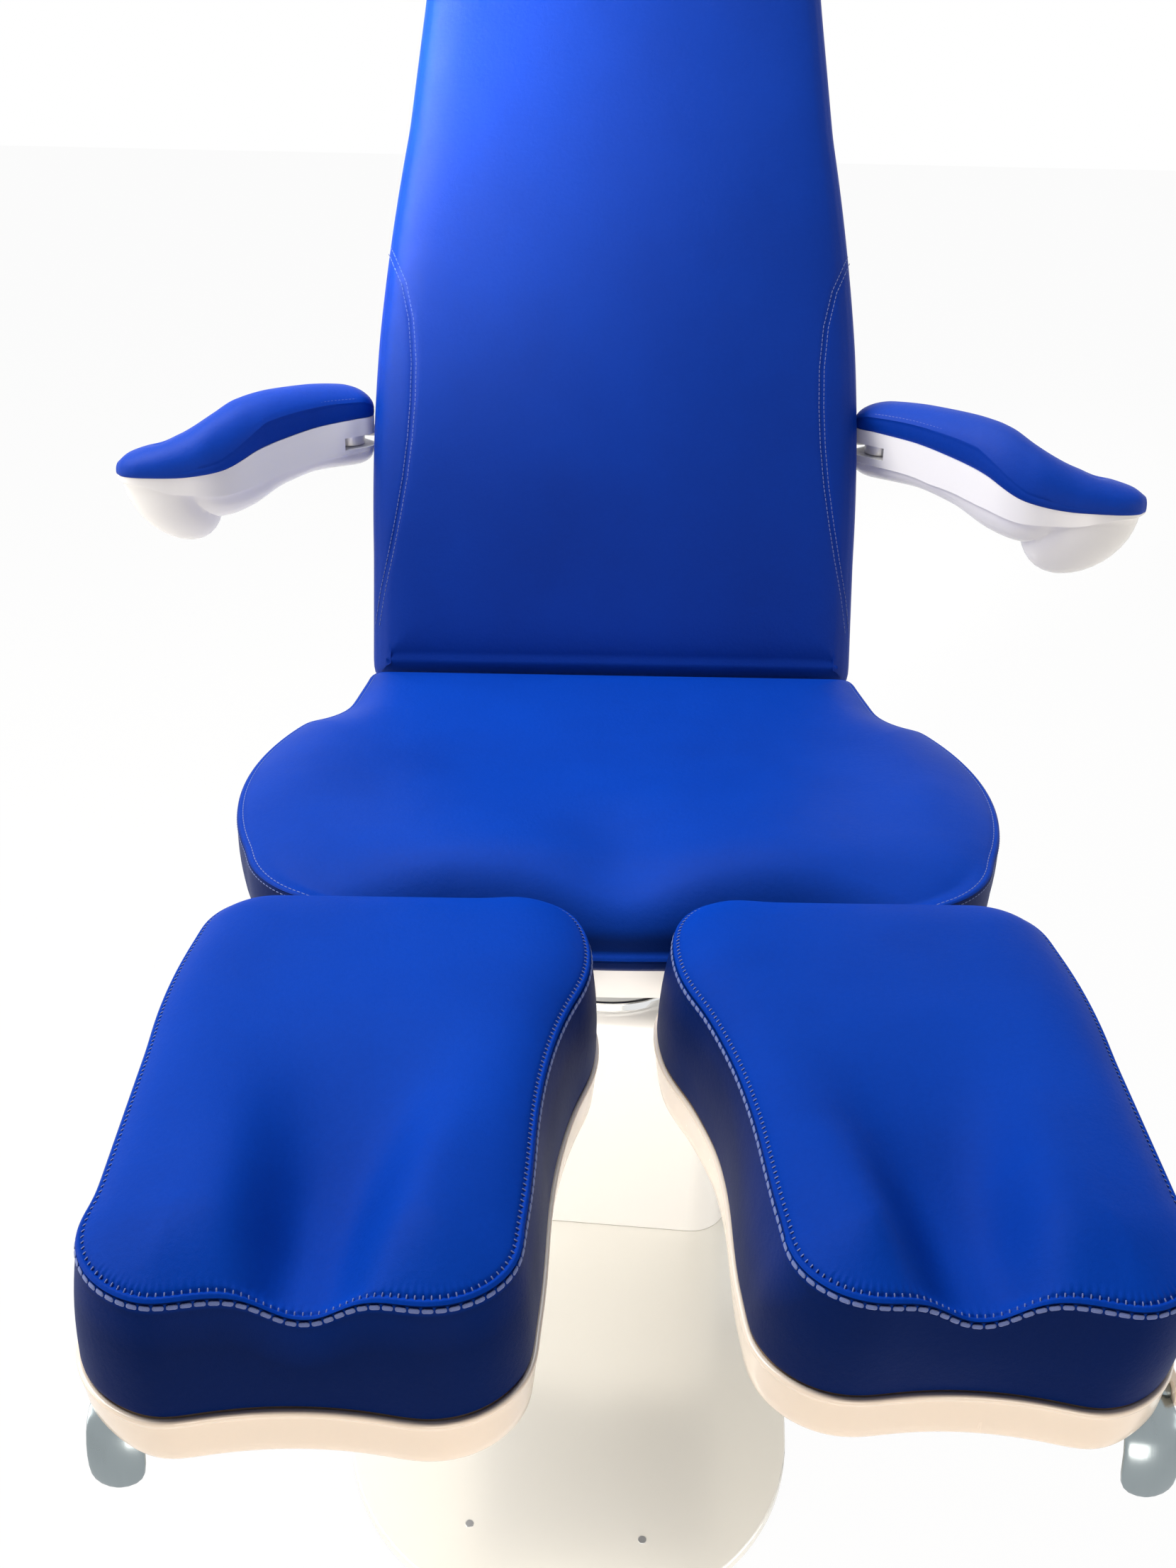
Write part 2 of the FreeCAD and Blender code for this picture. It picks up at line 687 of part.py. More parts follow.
def swivel_ring():
    """Bright ring on the cover's top, its rim rounded."""
    ring = post(RING_RADIUS, (COVER_TOP_Z, RING_TOP_Z))
    rim = [e for e in ring.Edges if e.BoundBox.XLength > RING_RADIUS]
    ring = ring.makeFillet(RING_EDGE_ROUND, rim)
    return ring.cut(post(BEARING_RADIUS, (FLANGE_TOP_Z, RING_TOP_Z + OVERRUN)))


def swivel_bearing():
    """Bearing housing on the flange."""
    top = SWIVEL_PLATE_Z - PASS_GAP
    body = post(BEARING_RADIUS, (FLANGE_TOP_Z, top))
    return body.cut(post(SHAFT_RADIUS + PIN_GAP, (FLANGE_BASE_Z, top + OVERRUN)))


def swivel_shaft():
    """Stub shaft of the seat, turning in the bearing."""
    return post(SHAFT_RADIUS, (FLANGE_TOP_Z + PASS_GAP, SWIVEL_PLATE_Z))


def swivel_plate():
    """Upper plate of the swivel."""
    return post(SWIVEL_PLATE_RADIUS, (SWIVEL_PLATE_Z, HEAD_BASE_Z))


def seat_bolt_places():
    """Centres of the four bolts between head and frame."""
    reach = RAIL_SPREAD
    return [(-reach, -reach), (reach, -reach), (-reach, reach), (reach, reach)]


def seat_head():
    """Square post and plate that carry the seat frame."""
    inner = HEAD_WIDTH - 2 * HEAD_WALL
    plate_base = FRAME_BASE_Z - HEAD_PLATE_THICK
    column = centred(HEAD_WIDTH, HEAD_WIDTH, (HEAD_BASE_Z, plate_base))
    column = column.cut(centred(inner, inner, (HEAD_BASE_Z - OVERRUN, plate_base + OVERRUN)))
    plate = centred(HEAD_PLATE_WIDTH, HEAD_PLATE_DEPTH, (plate_base, FRAME_BASE_Z))
    for x, y in seat_bolt_places():
        past = (plate_base - OVERRUN, FRAME_BASE_Z + OVERRUN)
        plate = plate.cut(post(SEAT_BOLT_RADIUS, past, x, y))
    return column.fuse(plate)


def seat_bolts():
    """Four bolts, as separate solids."""
    plate_base = FRAME_BASE_Z - HEAD_PLATE_THICK
    bolts = []
    for x, y in seat_bolt_places():
        shank = post(SEAT_BOLT_RADIUS, (plate_base, FRAME_BASE_Z + SEAT_BOLT_GRIP), x, y)
        head = post(SEAT_BOLT_HEAD_RADIUS, (plate_base - SEAT_BOLT_HEAD, plate_base), x, y)
        bolts.append(shank.fuse(head))
    return Part.makeCompound(bolts)


def seat_cushion():
    """Seat cushion with drawn-in foot, seam and crown."""
    levels = cushion_levels(SEAT_SEAM_HEIGHT, SEAT_TUCK, SEAT_CROWN, SEAT_CROWN_RUN)
    return stack(both_halves(SEAT_OUTLINE_SHARES), seat_placer, levels)


def seat_cover_rear_y():
    """Rear of the underside cover, level with the cushion's foot."""
    return SEAT_REAR_Y - SEAT_TUCK


def seat_underside_cover():
    """White tray under the seat, open at the middle and the rear."""
    base = -FRAME_HEIGHT - SEAT_COVER_WALL
    outline = both_halves(SEAT_OUTLINE_SHARES)
    body = tray(outline, seat_placer, base, 0.0, SEAT_COVER_WALL, SEAT_TUCK)
    opening = block(
        (-COVER_OPENING_HALF, COVER_OPENING_HALF),
        (COVER_OPENING_FRONT_Y, SEAT_REAR_Y + OVERRUN),
        (SEAT_COVER_BASE_Z - OVERRUN, CUSHION_BASE_Z + OVERRUN),
    )
    return body.cut(opening)


def member(x_half, y, z_span):
    """A cross member of the seat frame, centred on y."""
    return block((-x_half, x_half), (y - RAIL_WIDTH / 2, y + RAIL_WIDTH / 2), z_span)


def seat_frame():
    """Welded seat frame with the back's hinge ears and the actuator's lugs."""
    z_span = (FRAME_BASE_Z, CUSHION_BASE_Z)
    rear = seat_cover_rear_y() - SEAT_COVER_WALL
    rear_member_y = rear - RAIL_WIDTH / 2
    half = RAIL_WIDTH / 2
    pieces = []
    for side in (LEFT, RIGHT):
        x = side * RAIL_SPREAD
        pieces.append(block((x - half, x + half), (FRAME_FRONT_Y, rear), z_span))
    ear_outer = BACK_EAR_SPREAD + BACK_EAR_THICK / 2
    pieces.append(member(ear_outer, rear_member_y, z_span))
    for y in (-RAIL_SPREAD, RAIL_SPREAD, ACTUATOR_MEMBER_Y):
        pieces.append(member(RAIL_SPREAD + half, y, z_span))
    pieces.append(member(FRAME_SIDE_REACH, FRAME_FRONT_Y + half, z_span))
    for side in (LEFT, RIGHT):
        x = side * BACK_EAR_SPREAD
        pieces.append(hinge_ear((x - BACK_EAR_THICK / 2, x + BACK_EAR_THICK / 2), rear))
    for side in (LEFT, RIGHT):
        pieces.append(actuator_lug(side))
    frame = pieces[0].fuse(pieces[1:]).removeSplitter()
    span = (-ear_outer - OVERRUN, ear_outer + OVERRUN)
    frame = frame.cut(cross_rod(BACK_HINGE_RADIUS, span, BACK_HINGE_Y, BACK_HINGE_Z))
    for x, y in seat_bolt_places():
        hole = (FRAME_BASE_Z - OVERRUN, FRAME_BASE_Z + SEAT_BOLT_GRIP)
        frame = frame.cut(post(SEAT_BOLT_RADIUS, hole, x, y))
    return frame


def hinge_ear(x_span, rear):
    """Ear behind the seat, from the rear member up to the back hinge."""
    radius = BACK_EAR_RADIUS
    start = rear - RAIL_WIDTH
    points = (
        (start, FRAME_BASE_Z),
        (BACK_HINGE_Y, FRAME_BASE_Z),
        (BACK_HINGE_Y + radius, BACK_HINGE_Z),
        (BACK_HINGE_Y - radius, BACK_HINGE_Z),
        (SEAT_REAR_Y + OVERRUN, CUSHION_BASE_Z),
        (start, CUSHION_BASE_Z),
    )
    disc = cross_rod(radius, x_span, BACK_HINGE_Y, BACK_HINGE_Z)
    return side_plate(points, x_span).fuse(disc)


def actuator_lug(side):
    """One of the two lugs that hold the actuator's front eye."""
    gap = ACTUATOR_EYE_THICK / 2 + PASS_GAP
    near = ACTUATOR_X + side * gap
    far = near + side * ACTUATOR_LUG_THICK
    half = RAIL_WIDTH / 2
    points = (
        (ACTUATOR_MEMBER_Y - half, FRAME_BASE_Z),
        (ACTUATOR_MEMBER_Y + half, FRAME_BASE_Z),
        (ACTUATOR_MEMBER_Y + ACTUATOR_EYE_RADIUS, ACTUATOR_Z - ACTUATOR_EYE_RADIUS),
        (ACTUATOR_MEMBER_Y - ACTUATOR_EYE_RADIUS, ACTUATOR_Z - ACTUATOR_EYE_RADIUS),
    )
    outer = ACTUATOR_X + ACTUATOR_EYE_THICK / 2 + PASS_GAP + ACTUATOR_LUG_THICK
    shelf_x = (RAIL_SPREAD, outer)
    shelf_y = (ACTUATOR_MEMBER_Y - half, ACTUATOR_MEMBER_Y + half)
    shelf = block(shelf_x, shelf_y, (FRAME_BASE_Z, CUSHION_BASE_Z))
    return side_plate(points, (near, far)).fuse(shelf)


def back_hinge_rod():
    """Rod through the ears of frame and back."""
    outer = BACK_EAR_SPREAD + BACK_EAR_THICK / 2 + PASS_GAP + BACK_EAR_THICK
    return cross_rod(BACK_HINGE_RADIUS, (-outer, outer), BACK_HINGE_Y, BACK_HINGE_Z)


def lever_end():
    """The actuator's rear pivot on the back's lever, in chair coordinates."""
    angle = math.radians(LEVER_BACK_DEG)
    y = BACK_HINGE_Y + LEVER_RADIUS * math.sin(angle)
    z = BACK_HINGE_Z - LEVER_RADIUS * math.cos(angle)
    return y, z


def back_frame():
    """Two uprights, cross bars, hinge lugs and the actuator's lever."""
    front = BACK_THICK
    depth = (front, front + UPRIGHT_DEPTH)
    half = UPRIGHT_WIDTH / 2
    pieces = []
    for side in (LEFT, RIGHT):
        x = side * UPRIGHT_SPREAD
        pieces.append(block((x - half, x + half), depth, (UPRIGHT_FOOT, UPRIGHT_TOP)))
    lug_outer = BACK_EAR_SPREAD + BACK_EAR_THICK / 2 + PASS_GAP + BACK_EAR_THICK
    foot_bar = (UPRIGHT_FOOT, UPRIGHT_FOOT + CROSS_HEIGHT)
    pieces.append(block((-lug_outer, lug_outer), depth, foot_bar))
    top_bar = (UPRIGHT_TOP - CROSS_HEIGHT, UPRIGHT_TOP)
    middle = (UPRIGHT_FOOT + UPRIGHT_TOP) / 2
    middle_bar = (middle - CROSS_HEIGHT / 2, middle + CROSS_HEIGHT / 2)
    for bar in (middle_bar, top_bar):
        pieces.append(block((-UPRIGHT_SPREAD, UPRIGHT_SPREAD), depth, bar))
    pieces.extend(back_lugs(lug_outer))
    pieces.extend(lever_ears())
    frame = pieces[0].fuse(pieces[1:]).removeSplitter()
    hinge_y, hinge_z = back_local(BACK_HINGE_Y, BACK_HINGE_Z)
    span = (-lug_outer - OVERRUN, lug_outer + OVERRUN)
    frame = frame.cut(cross_rod(BACK_HINGE_RADIUS + PIN_GAP, span, hinge_y, hinge_z))
    return leaned(frame)


def back_lugs(lug_outer):
    """The back's two hinge lugs, outside the seat's ears."""
    hinge_y, hinge_z = back_local(BACK_HINGE_Y, BACK_HINGE_Z)
    radius = BACK_EAR_RADIUS
    rear = BACK_THICK + UPRIGHT_DEPTH
    top = UPRIGHT_FOOT + CROSS_HEIGHT
    points = (
        (BACK_THICK, top),
        (rear, top),
        (rear, hinge_z + radius),
        (hinge_y, hinge_z - radius),
        (hinge_y, hinge_z + radius),
        (BACK_THICK, -PASS_GAP),
    )
    lugs = []
    for side in (LEFT, RIGHT):
        x_span = (side * (lug_outer - BACK_EAR_THICK), side * lug_outer)
        disc = cross_rod(radius, x_span, hinge_y, hinge_z)
        lugs.append(side_plate(points, x_span).fuse(disc))
    return lugs


def lever_ears():
    """Two plates from the lowest cross bar down to the actuator."""
    end_y, end_z = back_local(*lever_end())
    half = LEVER_HALF
    rear = BACK_THICK + UPRIGHT_DEPTH
    top = UPRIGHT_FOOT + CROSS_HEIGHT
    points = (
        (BACK_THICK, top),
        (rear, top),
        (rear, UPRIGHT_FOOT),
        (end_y + half, end_z),
        (end_y - half, end_z),
        (BACK_THICK, UPRIGHT_FOOT),
    )
    ears = []
    for side in (LEFT, RIGHT):
        near = ACTUATOR_X + side * LEVER_EAR_SPACE / 2
        x_span = (near, near + side * LEVER_EAR_THICK)
        disc = cross_rod(half, x_span, end_y, end_z)
        ears.append(side_plate(points, x_span).fuse(disc))
    return ears


def back_cushion():
    """Back cushion: tucked rear, full sides, crowned front."""
    outline = both_halves(BACK_OUTLINE_SHARES)
    levels = [(BACK_THICK, BACK_TUCK), (BACK_SEAM_DEPTH, 0.0)]
    for inset_share, rise_share in CROWN_SHARES[1:]:
        depth = BACK_SEAM_DEPTH * (1 - rise_share)
        levels.append((depth, BACK_CROWN_RUN * inset_share))
    return leaned(stack(outline, back_placer, levels))


def arm_bracket_local(side):
    """Bracket plate from the back's upright to the arm's eye, with its eye bored."""
    half_thick = ARM_EYE_THICK / 2
    z_span = (ARM_EYE_Z - half_thick, ARM_EYE_Z + half_thick)
    eye = post(ARM_EYE_RADIUS, z_span, ARM_HINGE_X, ARM_HINGE_Y)
    half = ARM_BRACKET_WIDTH / 2
    rear = ARM_BRACKET_Y + ARM_BRACKET_WIDTH
    neck = block((ARM_HINGE_X - half, ARM_HINGE_X + half), (ARM_HINGE_Y, rear), z_span)
    start = UPRIGHT_SPREAD + UPRIGHT_WIDTH / 2
    bar = block((start, ARM_HINGE_X + half), (ARM_BRACKET_Y, rear), z_span)
    shape = eye.fuse([neck, bar]).removeSplitter()
    bore = (min(z_span) - OVERRUN, max(z_span) + OVERRUN)
    hole = post(ARM_PIN_RADIUS + PIN_GAP, bore, ARM_HINGE_X, ARM_HINGE_Y)
    return on_side(shape.cut(hole), side)


def back_shell():
    """White tray behind the back, slotted for the arm brackets and open at its foot."""
    outline = both_halves(BACK_OUTLINE_SHARES)
    rear = BACK_THICK + BACK_SHELL_DEPTH
    shell = tray(outline, back_placer, rear, BACK_THICK, BACK_SHELL_WALL, BACK_SHELL_INSET)
    foot = block(
        (-BACK_HALF_WIDTH, BACK_HALF_WIDTH),
        (BACK_THICK - OVERRUN, rear + OVERRUN),
        (-OVERRUN, BACK_SHELL_FOOT),
    )
    shell = leaned(shell.cut(foot))
    half_thick = ARM_EYE_THICK / 2 + PASS_GAP
    slot = block(
        (-ARM_HINGE_X, ARM_HINGE_X),
        (ARM_BRACKET_Y - PASS_GAP, ARM_BRACKET_Y + ARM_BRACKET_WIDTH + PASS_GAP),
        (ARM_EYE_Z - half_thick, ARM_EYE_Z + half_thick),
    )
    return shell.cut(slot)


def actuator_rod_reach():
    """Place of the actuator rod's eye at rest: level with the lever's end."""
    return lever_end()[0]


def back_actuator_body():
    """Actuator tube with its front eye, held between the frame's lugs."""
    eye_half = ACTUATOR_EYE_THICK / 2
    eye_x = (ACTUATOR_X - eye_half, ACTUATOR_X + eye_half)
    eye = cross_rod(ACTUATOR_EYE_RADIUS, eye_x, ACTUATOR_MEMBER_Y, ACTUATOR_Z)
    start = ACTUATOR_MEMBER_Y + ACTUATOR_EYE_RADIUS
    neck_top = ACTUATOR_Z + ACTUATOR_EYE_RADIUS
    neck_low = ACTUATOR_Z - ACTUATOR_EYE_RADIUS
    tube_start = ACTUATOR_MEMBER_Y + RAIL_WIDTH / 2 + ACTUATOR_WALL
    neck = block(eye_x, (ACTUATOR_MEMBER_Y, tube_start), (neck_low, neck_top))
    tube = Part.makeCylinder(
        ACTUATOR_BODY_RADIUS, ACTUATOR_BODY_LENGTH, V(ACTUATOR_X, tube_start, ACTUATOR_Z), V(0, 1, 0)
    )
    bore_start = start + RAIL_WIDTH
    bore = Part.makeCylinder(
        ACTUATOR_ROD_RADIUS + PIN_GAP,
        ACTUATOR_BODY_LENGTH,
        V(ACTUATOR_X, bore_start, ACTUATOR_Z),
        V(0, 1, 0),
    )
    return eye.fuse([neck, tube]).removeSplitter().cut(bore)


def back_actuator_rod():
    """Push rod with a rear eye between the lever's ears."""
    reach = actuator_rod_reach()
    tube_end = ACTUATOR_MEMBER_Y + RAIL_WIDTH / 2 + ACTUATOR_WALL + ACTUATOR_BODY_LENGTH
    start = tube_end - ACTUATOR_REAR_REACH
    rod = Part.makeCylinder(
        ACTUATOR_ROD_RADIUS,
        reach - ACTUATOR_EYE_RADIUS - start,
        V(ACTUATOR_X, start, ACTUATOR_Z),
        V(0, 1, 0),
    )
    half = LEVER_EAR_SPACE / 2 - 2 * PASS_GAP
    x_span = (ACTUATOR_X - half, ACTUATOR_X + half)
    eye = cross_rod(ACTUATOR_EYE_RADIUS, x_span, reach, ACTUATOR_Z)
    neck_z = (ACTUATOR_Z - half, ACTUATOR_Z + half)
    neck = block(x_span, (reach - 2 * ACTUATOR_EYE_RADIUS, reach), neck_z)
    keep = block(
        (ACTUATOR_X - ACTUATOR_BODY_RADIUS, ACTUATOR_X + ACTUATOR_BODY_RADIUS),
        (start, reach - 2 * LEVER_HALF - ACTUATOR_EYE_RADIUS),
        (ACTUATOR_Z - ACTUATOR_BODY_RADIUS, ACTUATOR_Z + ACTUATOR_BODY_RADIUS),
    )
    slim = rod.cut(keep).common(block(x_span, (start, reach), neck_z))
    return rod.common(keep).fuse([slim, neck, eye]).removeSplitter()


def arm_station(shares):
    """Centre, direction across, half width and heights of one armrest section."""
    along, outward, turn, half, drop, top, bottom = shares
    angle = turn * math.pi / 2
    centre = V(ARM_LENGTH * outward, -ARM_LENGTH * along, 0)
    across = V(math.cos(angle), math.sin(angle), 0)
    split = ARM_SPLIT_Z - ARM_SPLIT_DROP * drop
    top_z = ARM_SPLIT_Z + ARM_PAD_RISE * top
    bottom_z = ARM_SPLIT_Z - ARM_BULB_DEPTH * bottom
    return centre, across, ARM_HALF_WIDTH * half, split, top_z, bottom_z


def section_wire(centre, across, half, flat_z, edge_z, far_z):
    """A flat line, two short sides and an arc through the far height."""
    inner = centre - across * half
    outer = centre + across * half
    flat = [V(inner.x, inner.y, flat_z), V(outer.x, outer.y, flat_z)]
    shoulder = [V(outer.x, outer.y, edge_z), V(inner.x, inner.y, edge_z)]
    middle = V(centre.x, centre.y, far_z)
    edges = [
        Part.LineSegment(flat[0], flat[1]).toShape(),
        Part.LineSegment(flat[1], shoulder[0]).toShape(),
        Part.Arc(shoulder[0], middle, shoulder[1]).toShape(),
        Part.LineSegment(shoulder[1], flat[0]).toShape(),
    ]
    return Part.Wire(edges)


def placed_arm(shape, side_name):
    """Swing an armrest piece out and put it on its hinge."""
    moved = shape.copy()
    out = ARM_OUT_RIGHT_DEG if SIDES[side_name] == RIGHT else ARM_OUT_LEFT_DEG
    moved.rotate(V(0, 0, 0), V(0, 0, 1), out)
    moved.translate(V(ARM_HINGE_X, ARM_HINGE_Y, 0))
    return on_side(moved, SIDES[side_name])


def arm_pad(side_name):
    """Arched pad that widens and turns out towards the hand."""
    wires = []
    for shares in ARM_STATION_SHARES:
        centre, across, half, split, top, _ = arm_station(shares)
        edge = split + min(ARM_EDGE_HEIGHT, (top - split) / 2)
        wires.append(section_wire(centre, across, half, split, edge, top))
    return placed_arm(Part.makeLoft(wires, True, True), side_name)


def arm_shell(side_name):
    """White moulding under the pad, with a knuckle at the root and a bulb below the hand."""
    wires = []
    for shares in ARM_STATION_SHARES:
        centre, across, half, split, _, bottom = arm_station(shares)
        half = max(half - ARM_SHELL_INSET, half / 2)
        edge = split - (split - bottom) * ARM_SHELL_FOOT_SHARE
        wires.append(section_wire(centre, across, half, split, edge, bottom))
    shell = Part.makeLoft(wires, True, True)
    half_thick = ARM_EYE_THICK / 2 + PASS_GAP
    slot_z = (ARM_EYE_Z - half_thick, ARM_EYE_Z + half_thick)
    shell = shell.cut(post(ARM_KNUCKLE_RADIUS + OVERRUN, slot_z))
    shell = shell.cut(post(ARM_PIN_RADIUS, arm_pin_span()))
    return placed_arm(shell, side_name)


def arm_pin_span():
    """Height span of an armrest's pin."""
    root_depth = ARM_BULB_DEPTH * ARM_STATION_SHARES[2][-1]
    reach = root_depth / 2 - OVERRUN
    return ARM_EYE_Z - reach + OVERRUN, ARM_EYE_Z + reach


def arm_pin(side_name):
    """Pin of the armrest's swing."""
    return placed_arm(post(ARM_PIN_RADIUS, arm_pin_span()), side_name)


def leg_cushion():
    """Leg rest cushion: flared foot, seam, crown and the calf channel cut into it."""
    levels = cushion_levels(LEG_SEAM_HEIGHT, -LEG_FLARE, LEG_CROWN, LEG_CROWN_RUN)
    body = stack(LEG_OUTLINE_SHARES, leg_placer, levels)
    top = CUSHION_BASE_Z + LEG_SEAM_HEIGHT + LEG_CROWN
    wires = []
    for along, across, width, depth in GROOVE_SHARES:
        y = LEG_REAR_Y - LEG_LENGTH * along
        x = LEG_INNER_X + LEG_WIDTH * across
        half = GROOVE_WIDTH * width / 2
        near = V(x - half, y, top)
        far = V(x + half, y, top)
        low = V(x, y, top - GROOVE_DEPTH * depth)
        lift = V(0, 0, OVERRUN)
        edges = [
            Part.Arc(near, low, far).toShape(),
            Part.LineSegment(far, far + lift).toShape(),
            Part.LineSegment(far + lift, near + lift).toShape(),
            Part.LineSegment(near + lift, near).toShape(),
        ]
        wires.append(Part.Wire(edges))
    return body.cut(Part.makeLoft(wires, True, True))


def leg_shell():
    """White tray under the leg rest, with the release lever's ears."""
    inset = -LEG_FLARE - LEG_SHELL_LIP
    base = -LEG_SHELL_HEIGHT
    body = tray(LEG_OUTLINE_SHARES, leg_placer, base, 0.0, LEG_SHELL_WALL, inset)
    reach = CATCH_BARREL_RADIUS + CATCH_EAR_THICK
    ears = []
    for side in (LEFT, RIGHT):
        near = CATCH_X + side * (CATCH_WIDTH / 2 + PASS_GAP)
        x_span = (near, near + side * CATCH_EAR_THICK)
        ear = block(x_span, (CATCH_Y - reach, CATCH_Y + reach), (CATCH_Z, LEG_SHELL_BASE_Z))
        ears.append(ear.fuse(cross_rod(reach, x_span, CATCH_Y, CATCH_Z)))
    body = body.fuse(ears).removeSplitter()
    return body.cut(cross_rod(CATCH_PIN_RADIUS + PIN_GAP, catch_pin_span(), CATCH_Y, CATCH_Z))


def catch_pin_span():
    """Length of the release lever's pin."""
    reach = CATCH_WIDTH / 2 + PASS_GAP + CATCH_EAR_THICK
    return CATCH_X - reach, CATCH_X + reach


def leg_lever():
    """Bright release lever: barrel, flat tongue and a hanging blade."""
    half = CATCH_WIDTH / 2
    x_span = (CATCH_X - half, CATCH_X + half)
    top = CATCH_Z + CATCH_THICK / 2
    low = CATCH_Z - CATCH_THICK / 2
    bend_y = CATCH_Y - CATCH_REACH
    bend_z = low - CATCH_BEND
    foot = top - CATCH_HANG
    barrel = cross_rod(CATCH_BARREL_RADIUS, x_span, CATCH_Y, CATCH_Z)
    flat = block(x_span, (CATCH_Y, bend_y), (low, top))
    bend = cross_rod(CATCH_BEND + CATCH_THICK, x_span, bend_y, bend_z)
    bend = bend.cut(cross_rod(CATCH_BEND, x_span, bend_y, bend_z))
    edge = bend_y - CATCH_BEND
    corner = block(x_span, (bend_y, edge - CATCH_THICK - OVERRUN), (bend_z, top + OVERRUN))
    bend = bend.common(corner)
    blade = block(x_span, (edge, edge - CATCH_THICK), (foot, bend_z))
    pin = cross_rod(CATCH_PIN_RADIUS, catch_pin_span(), CATCH_Y, CATCH_Z)
    return barrel.fuse([flat, bend, blade, pin]).removeSplitter()


def leg_board():
    """Plywood board in the tray, under the cushion."""
    inset = -LEG_FLARE - LEG_SHELL_LIP + LEG_SHELL_WALL + PASS_GAP
    return stack(LEG_OUTLINE_SHARES, leg_placer, [(-LEG_BOARD_THICK, inset), (0.0, inset)])


def leg_hinge_bracket():
    """Bracket under the seat's cover with two ears for the leg hinge."""
    x_low, x_high = LEG_BRACKET_INNER_X, LEG_BRACKET_OUTER_X
    thick = LEG_BRACKET_THICK
    radius = LEG_BARREL_RADIUS
    top = SEAT_COVER_BASE_Z
    plate_y = (LEG_HINGE_Y + radius, LEG_BRACKET_REAR_Y)
    plate = block((x_low, x_high), plate_y, (top - thick, top))
    pieces = []
    for x_span in ((x_low, x_low + thick), (x_high - thick, x_high)):
        points = (
            (LEG_HINGE_Y - radius, LEG_HINGE_Z),
            (LEG_HINGE_Y + radius, LEG_HINGE_Z),
            (LEG_BRACKET_REAR_Y, top - thick),
            (LEG_BRACKET_REAR_Y, top),
            (LEG_HINGE_Y + radius, top),
        )
        ear = side_plate(points, x_span)
        pieces.append(ear.fuse(cross_rod(radius, x_span, LEG_HINGE_Y, LEG_HINGE_Z)))
    shape = plate.fuse(pieces).removeSplitter()
    return shape.cut(cross_rod(LEG_PIN_RADIUS, leg_pin_span(), LEG_HINGE_Y, LEG_HINGE_Z))


def leg_pin_span():
    """Length of a leg hinge pin, flush with the bracket's ears."""
    return LEG_BRACKET_INNER_X, LEG_BRACKET_OUTER_X


def leg_hinge_pin():
    """Pin fixed in the bracket's ears."""
    return cross_rod(LEG_PIN_RADIUS, leg_pin_span(), LEG_HINGE_Y, LEG_HINGE_Z)


def leg_arm():
    """Swing arm: a barrel on the hinge pin and a plate under the guide."""
    gap = LEG_BRACKET_THICK + PASS_GAP
    x_span = (LEG_BRACKET_INNER_X + gap, LEG_BRACKET_OUTER_X - gap)
    barrel = cross_rod(LEG_BARREL_RADIUS, x_span, LEG_HINGE_Y, LEG_HINGE_Z)
    plate_x = (min(x_span) + LEG_ARM_MARGIN, max(x_span) - LEG_ARM_MARGIN)
    plate = block(plate_x, (LEG_HINGE_Y, LEG_ARM_FRONT_Y), (LEG_ARM_BASE_Z, LEG_ARM_TOP_Z))
    shape = barrel.fuse(plate).removeSplitter()
    past = (min(x_span) - OVERRUN, max(x_span) + OVERRUN)
    shape = shape.cut(cross_rod(LEG_PIN_RADIUS + PIN_GAP, past, LEG_HINGE_Y, LEG_HINGE_Z))
    bore = (LEG_ARM_BASE_Z - OVERRUN, LEG_ARM_TOP_Z + OVERRUN)
    return shape.cut(post(LEG_PIVOT_RADIUS + PIN_GAP, bore, LEG_PIVOT_X, LEG_PIVOT_Y))


def leg_guide():
    """Channel that turns on the swing arm and guides the leg rest."""
    z_low = GUIDE_BASE_Z
    y_span = (GUIDE_REAR_Y, GUIDE_REAR_Y - GUIDE_LENGTH)
    x_low = LEG_PIVOT_X - GUIDE_HALF_WIDTH
    x_high = LEG_PIVOT_X + GUIDE_HALF_WIDTH
    floor = block((x_low, x_high), y_span, (z_low, z_low + GUIDE_WALL))
    walls = []
    for x_span in ((x_low, x_low + GUIDE_WALL), (x_high - GUIDE_WALL, x_high)):
        walls.append(block(x_span, y_span, (z_low, z_low + GUIDE_HEIGHT)))
    guide = floor.fuse(walls).removeSplitter()
    bore = (z_low - OVERRUN, z_low + GUIDE_WALL + OVERRUN)
    return guide.cut(post(LEG_PIVOT_RADIUS, bore, LEG_PIVOT_X, LEG_PIVOT_Y))


def leg_pivot_bolt():
    """Upright bolt on which the guide turns."""
    floor_top = GUIDE_BASE_Z + GUIDE_WALL
    nut_top = LEG_ARM_BASE_Z - PASS_GAP
    pieces = [
        post(LEG_PIVOT_HEAD_RADIUS, (floor_top, floor_top + LEG_PIVOT_HEAD), LEG_PIVOT_X, LEG_PIVOT_Y),
        post(LEG_PIVOT_HEAD_RADIUS, (nut_top - LEG_PIVOT_HEAD, nut_top), LEG_PIVOT_X, LEG_PIVOT_Y),
    ]
    shank = post(LEG_PIVOT_RADIUS, (nut_top, floor_top), LEG_PIVOT_X, LEG_PIVOT_Y)
    return shank.fuse(pieces)


def leg_runners():
    """Two runners under the tray, sliding between the guide's walls."""
    reach = GUIDE_HALF_WIDTH - GUIDE_WALL - PASS_GAP
    y_span = (GUIDE_REAR_Y, RUNNER_FRONT_Y)
    z_span = (GUIDE_BASE_Z + GUIDE_WALL + PASS_GAP, LEG_SHELL_BASE_Z)
    low = LEG_PIVOT_X - reach
    high = LEG_PIVOT_X + reach
    solids = [
        block((low, low + RUNNER_WIDTH), y_span, z_span),
        block((high - RUNNER_WIDTH, high), y_span, z_span),
    ]
    return Part.makeCompound(solids)


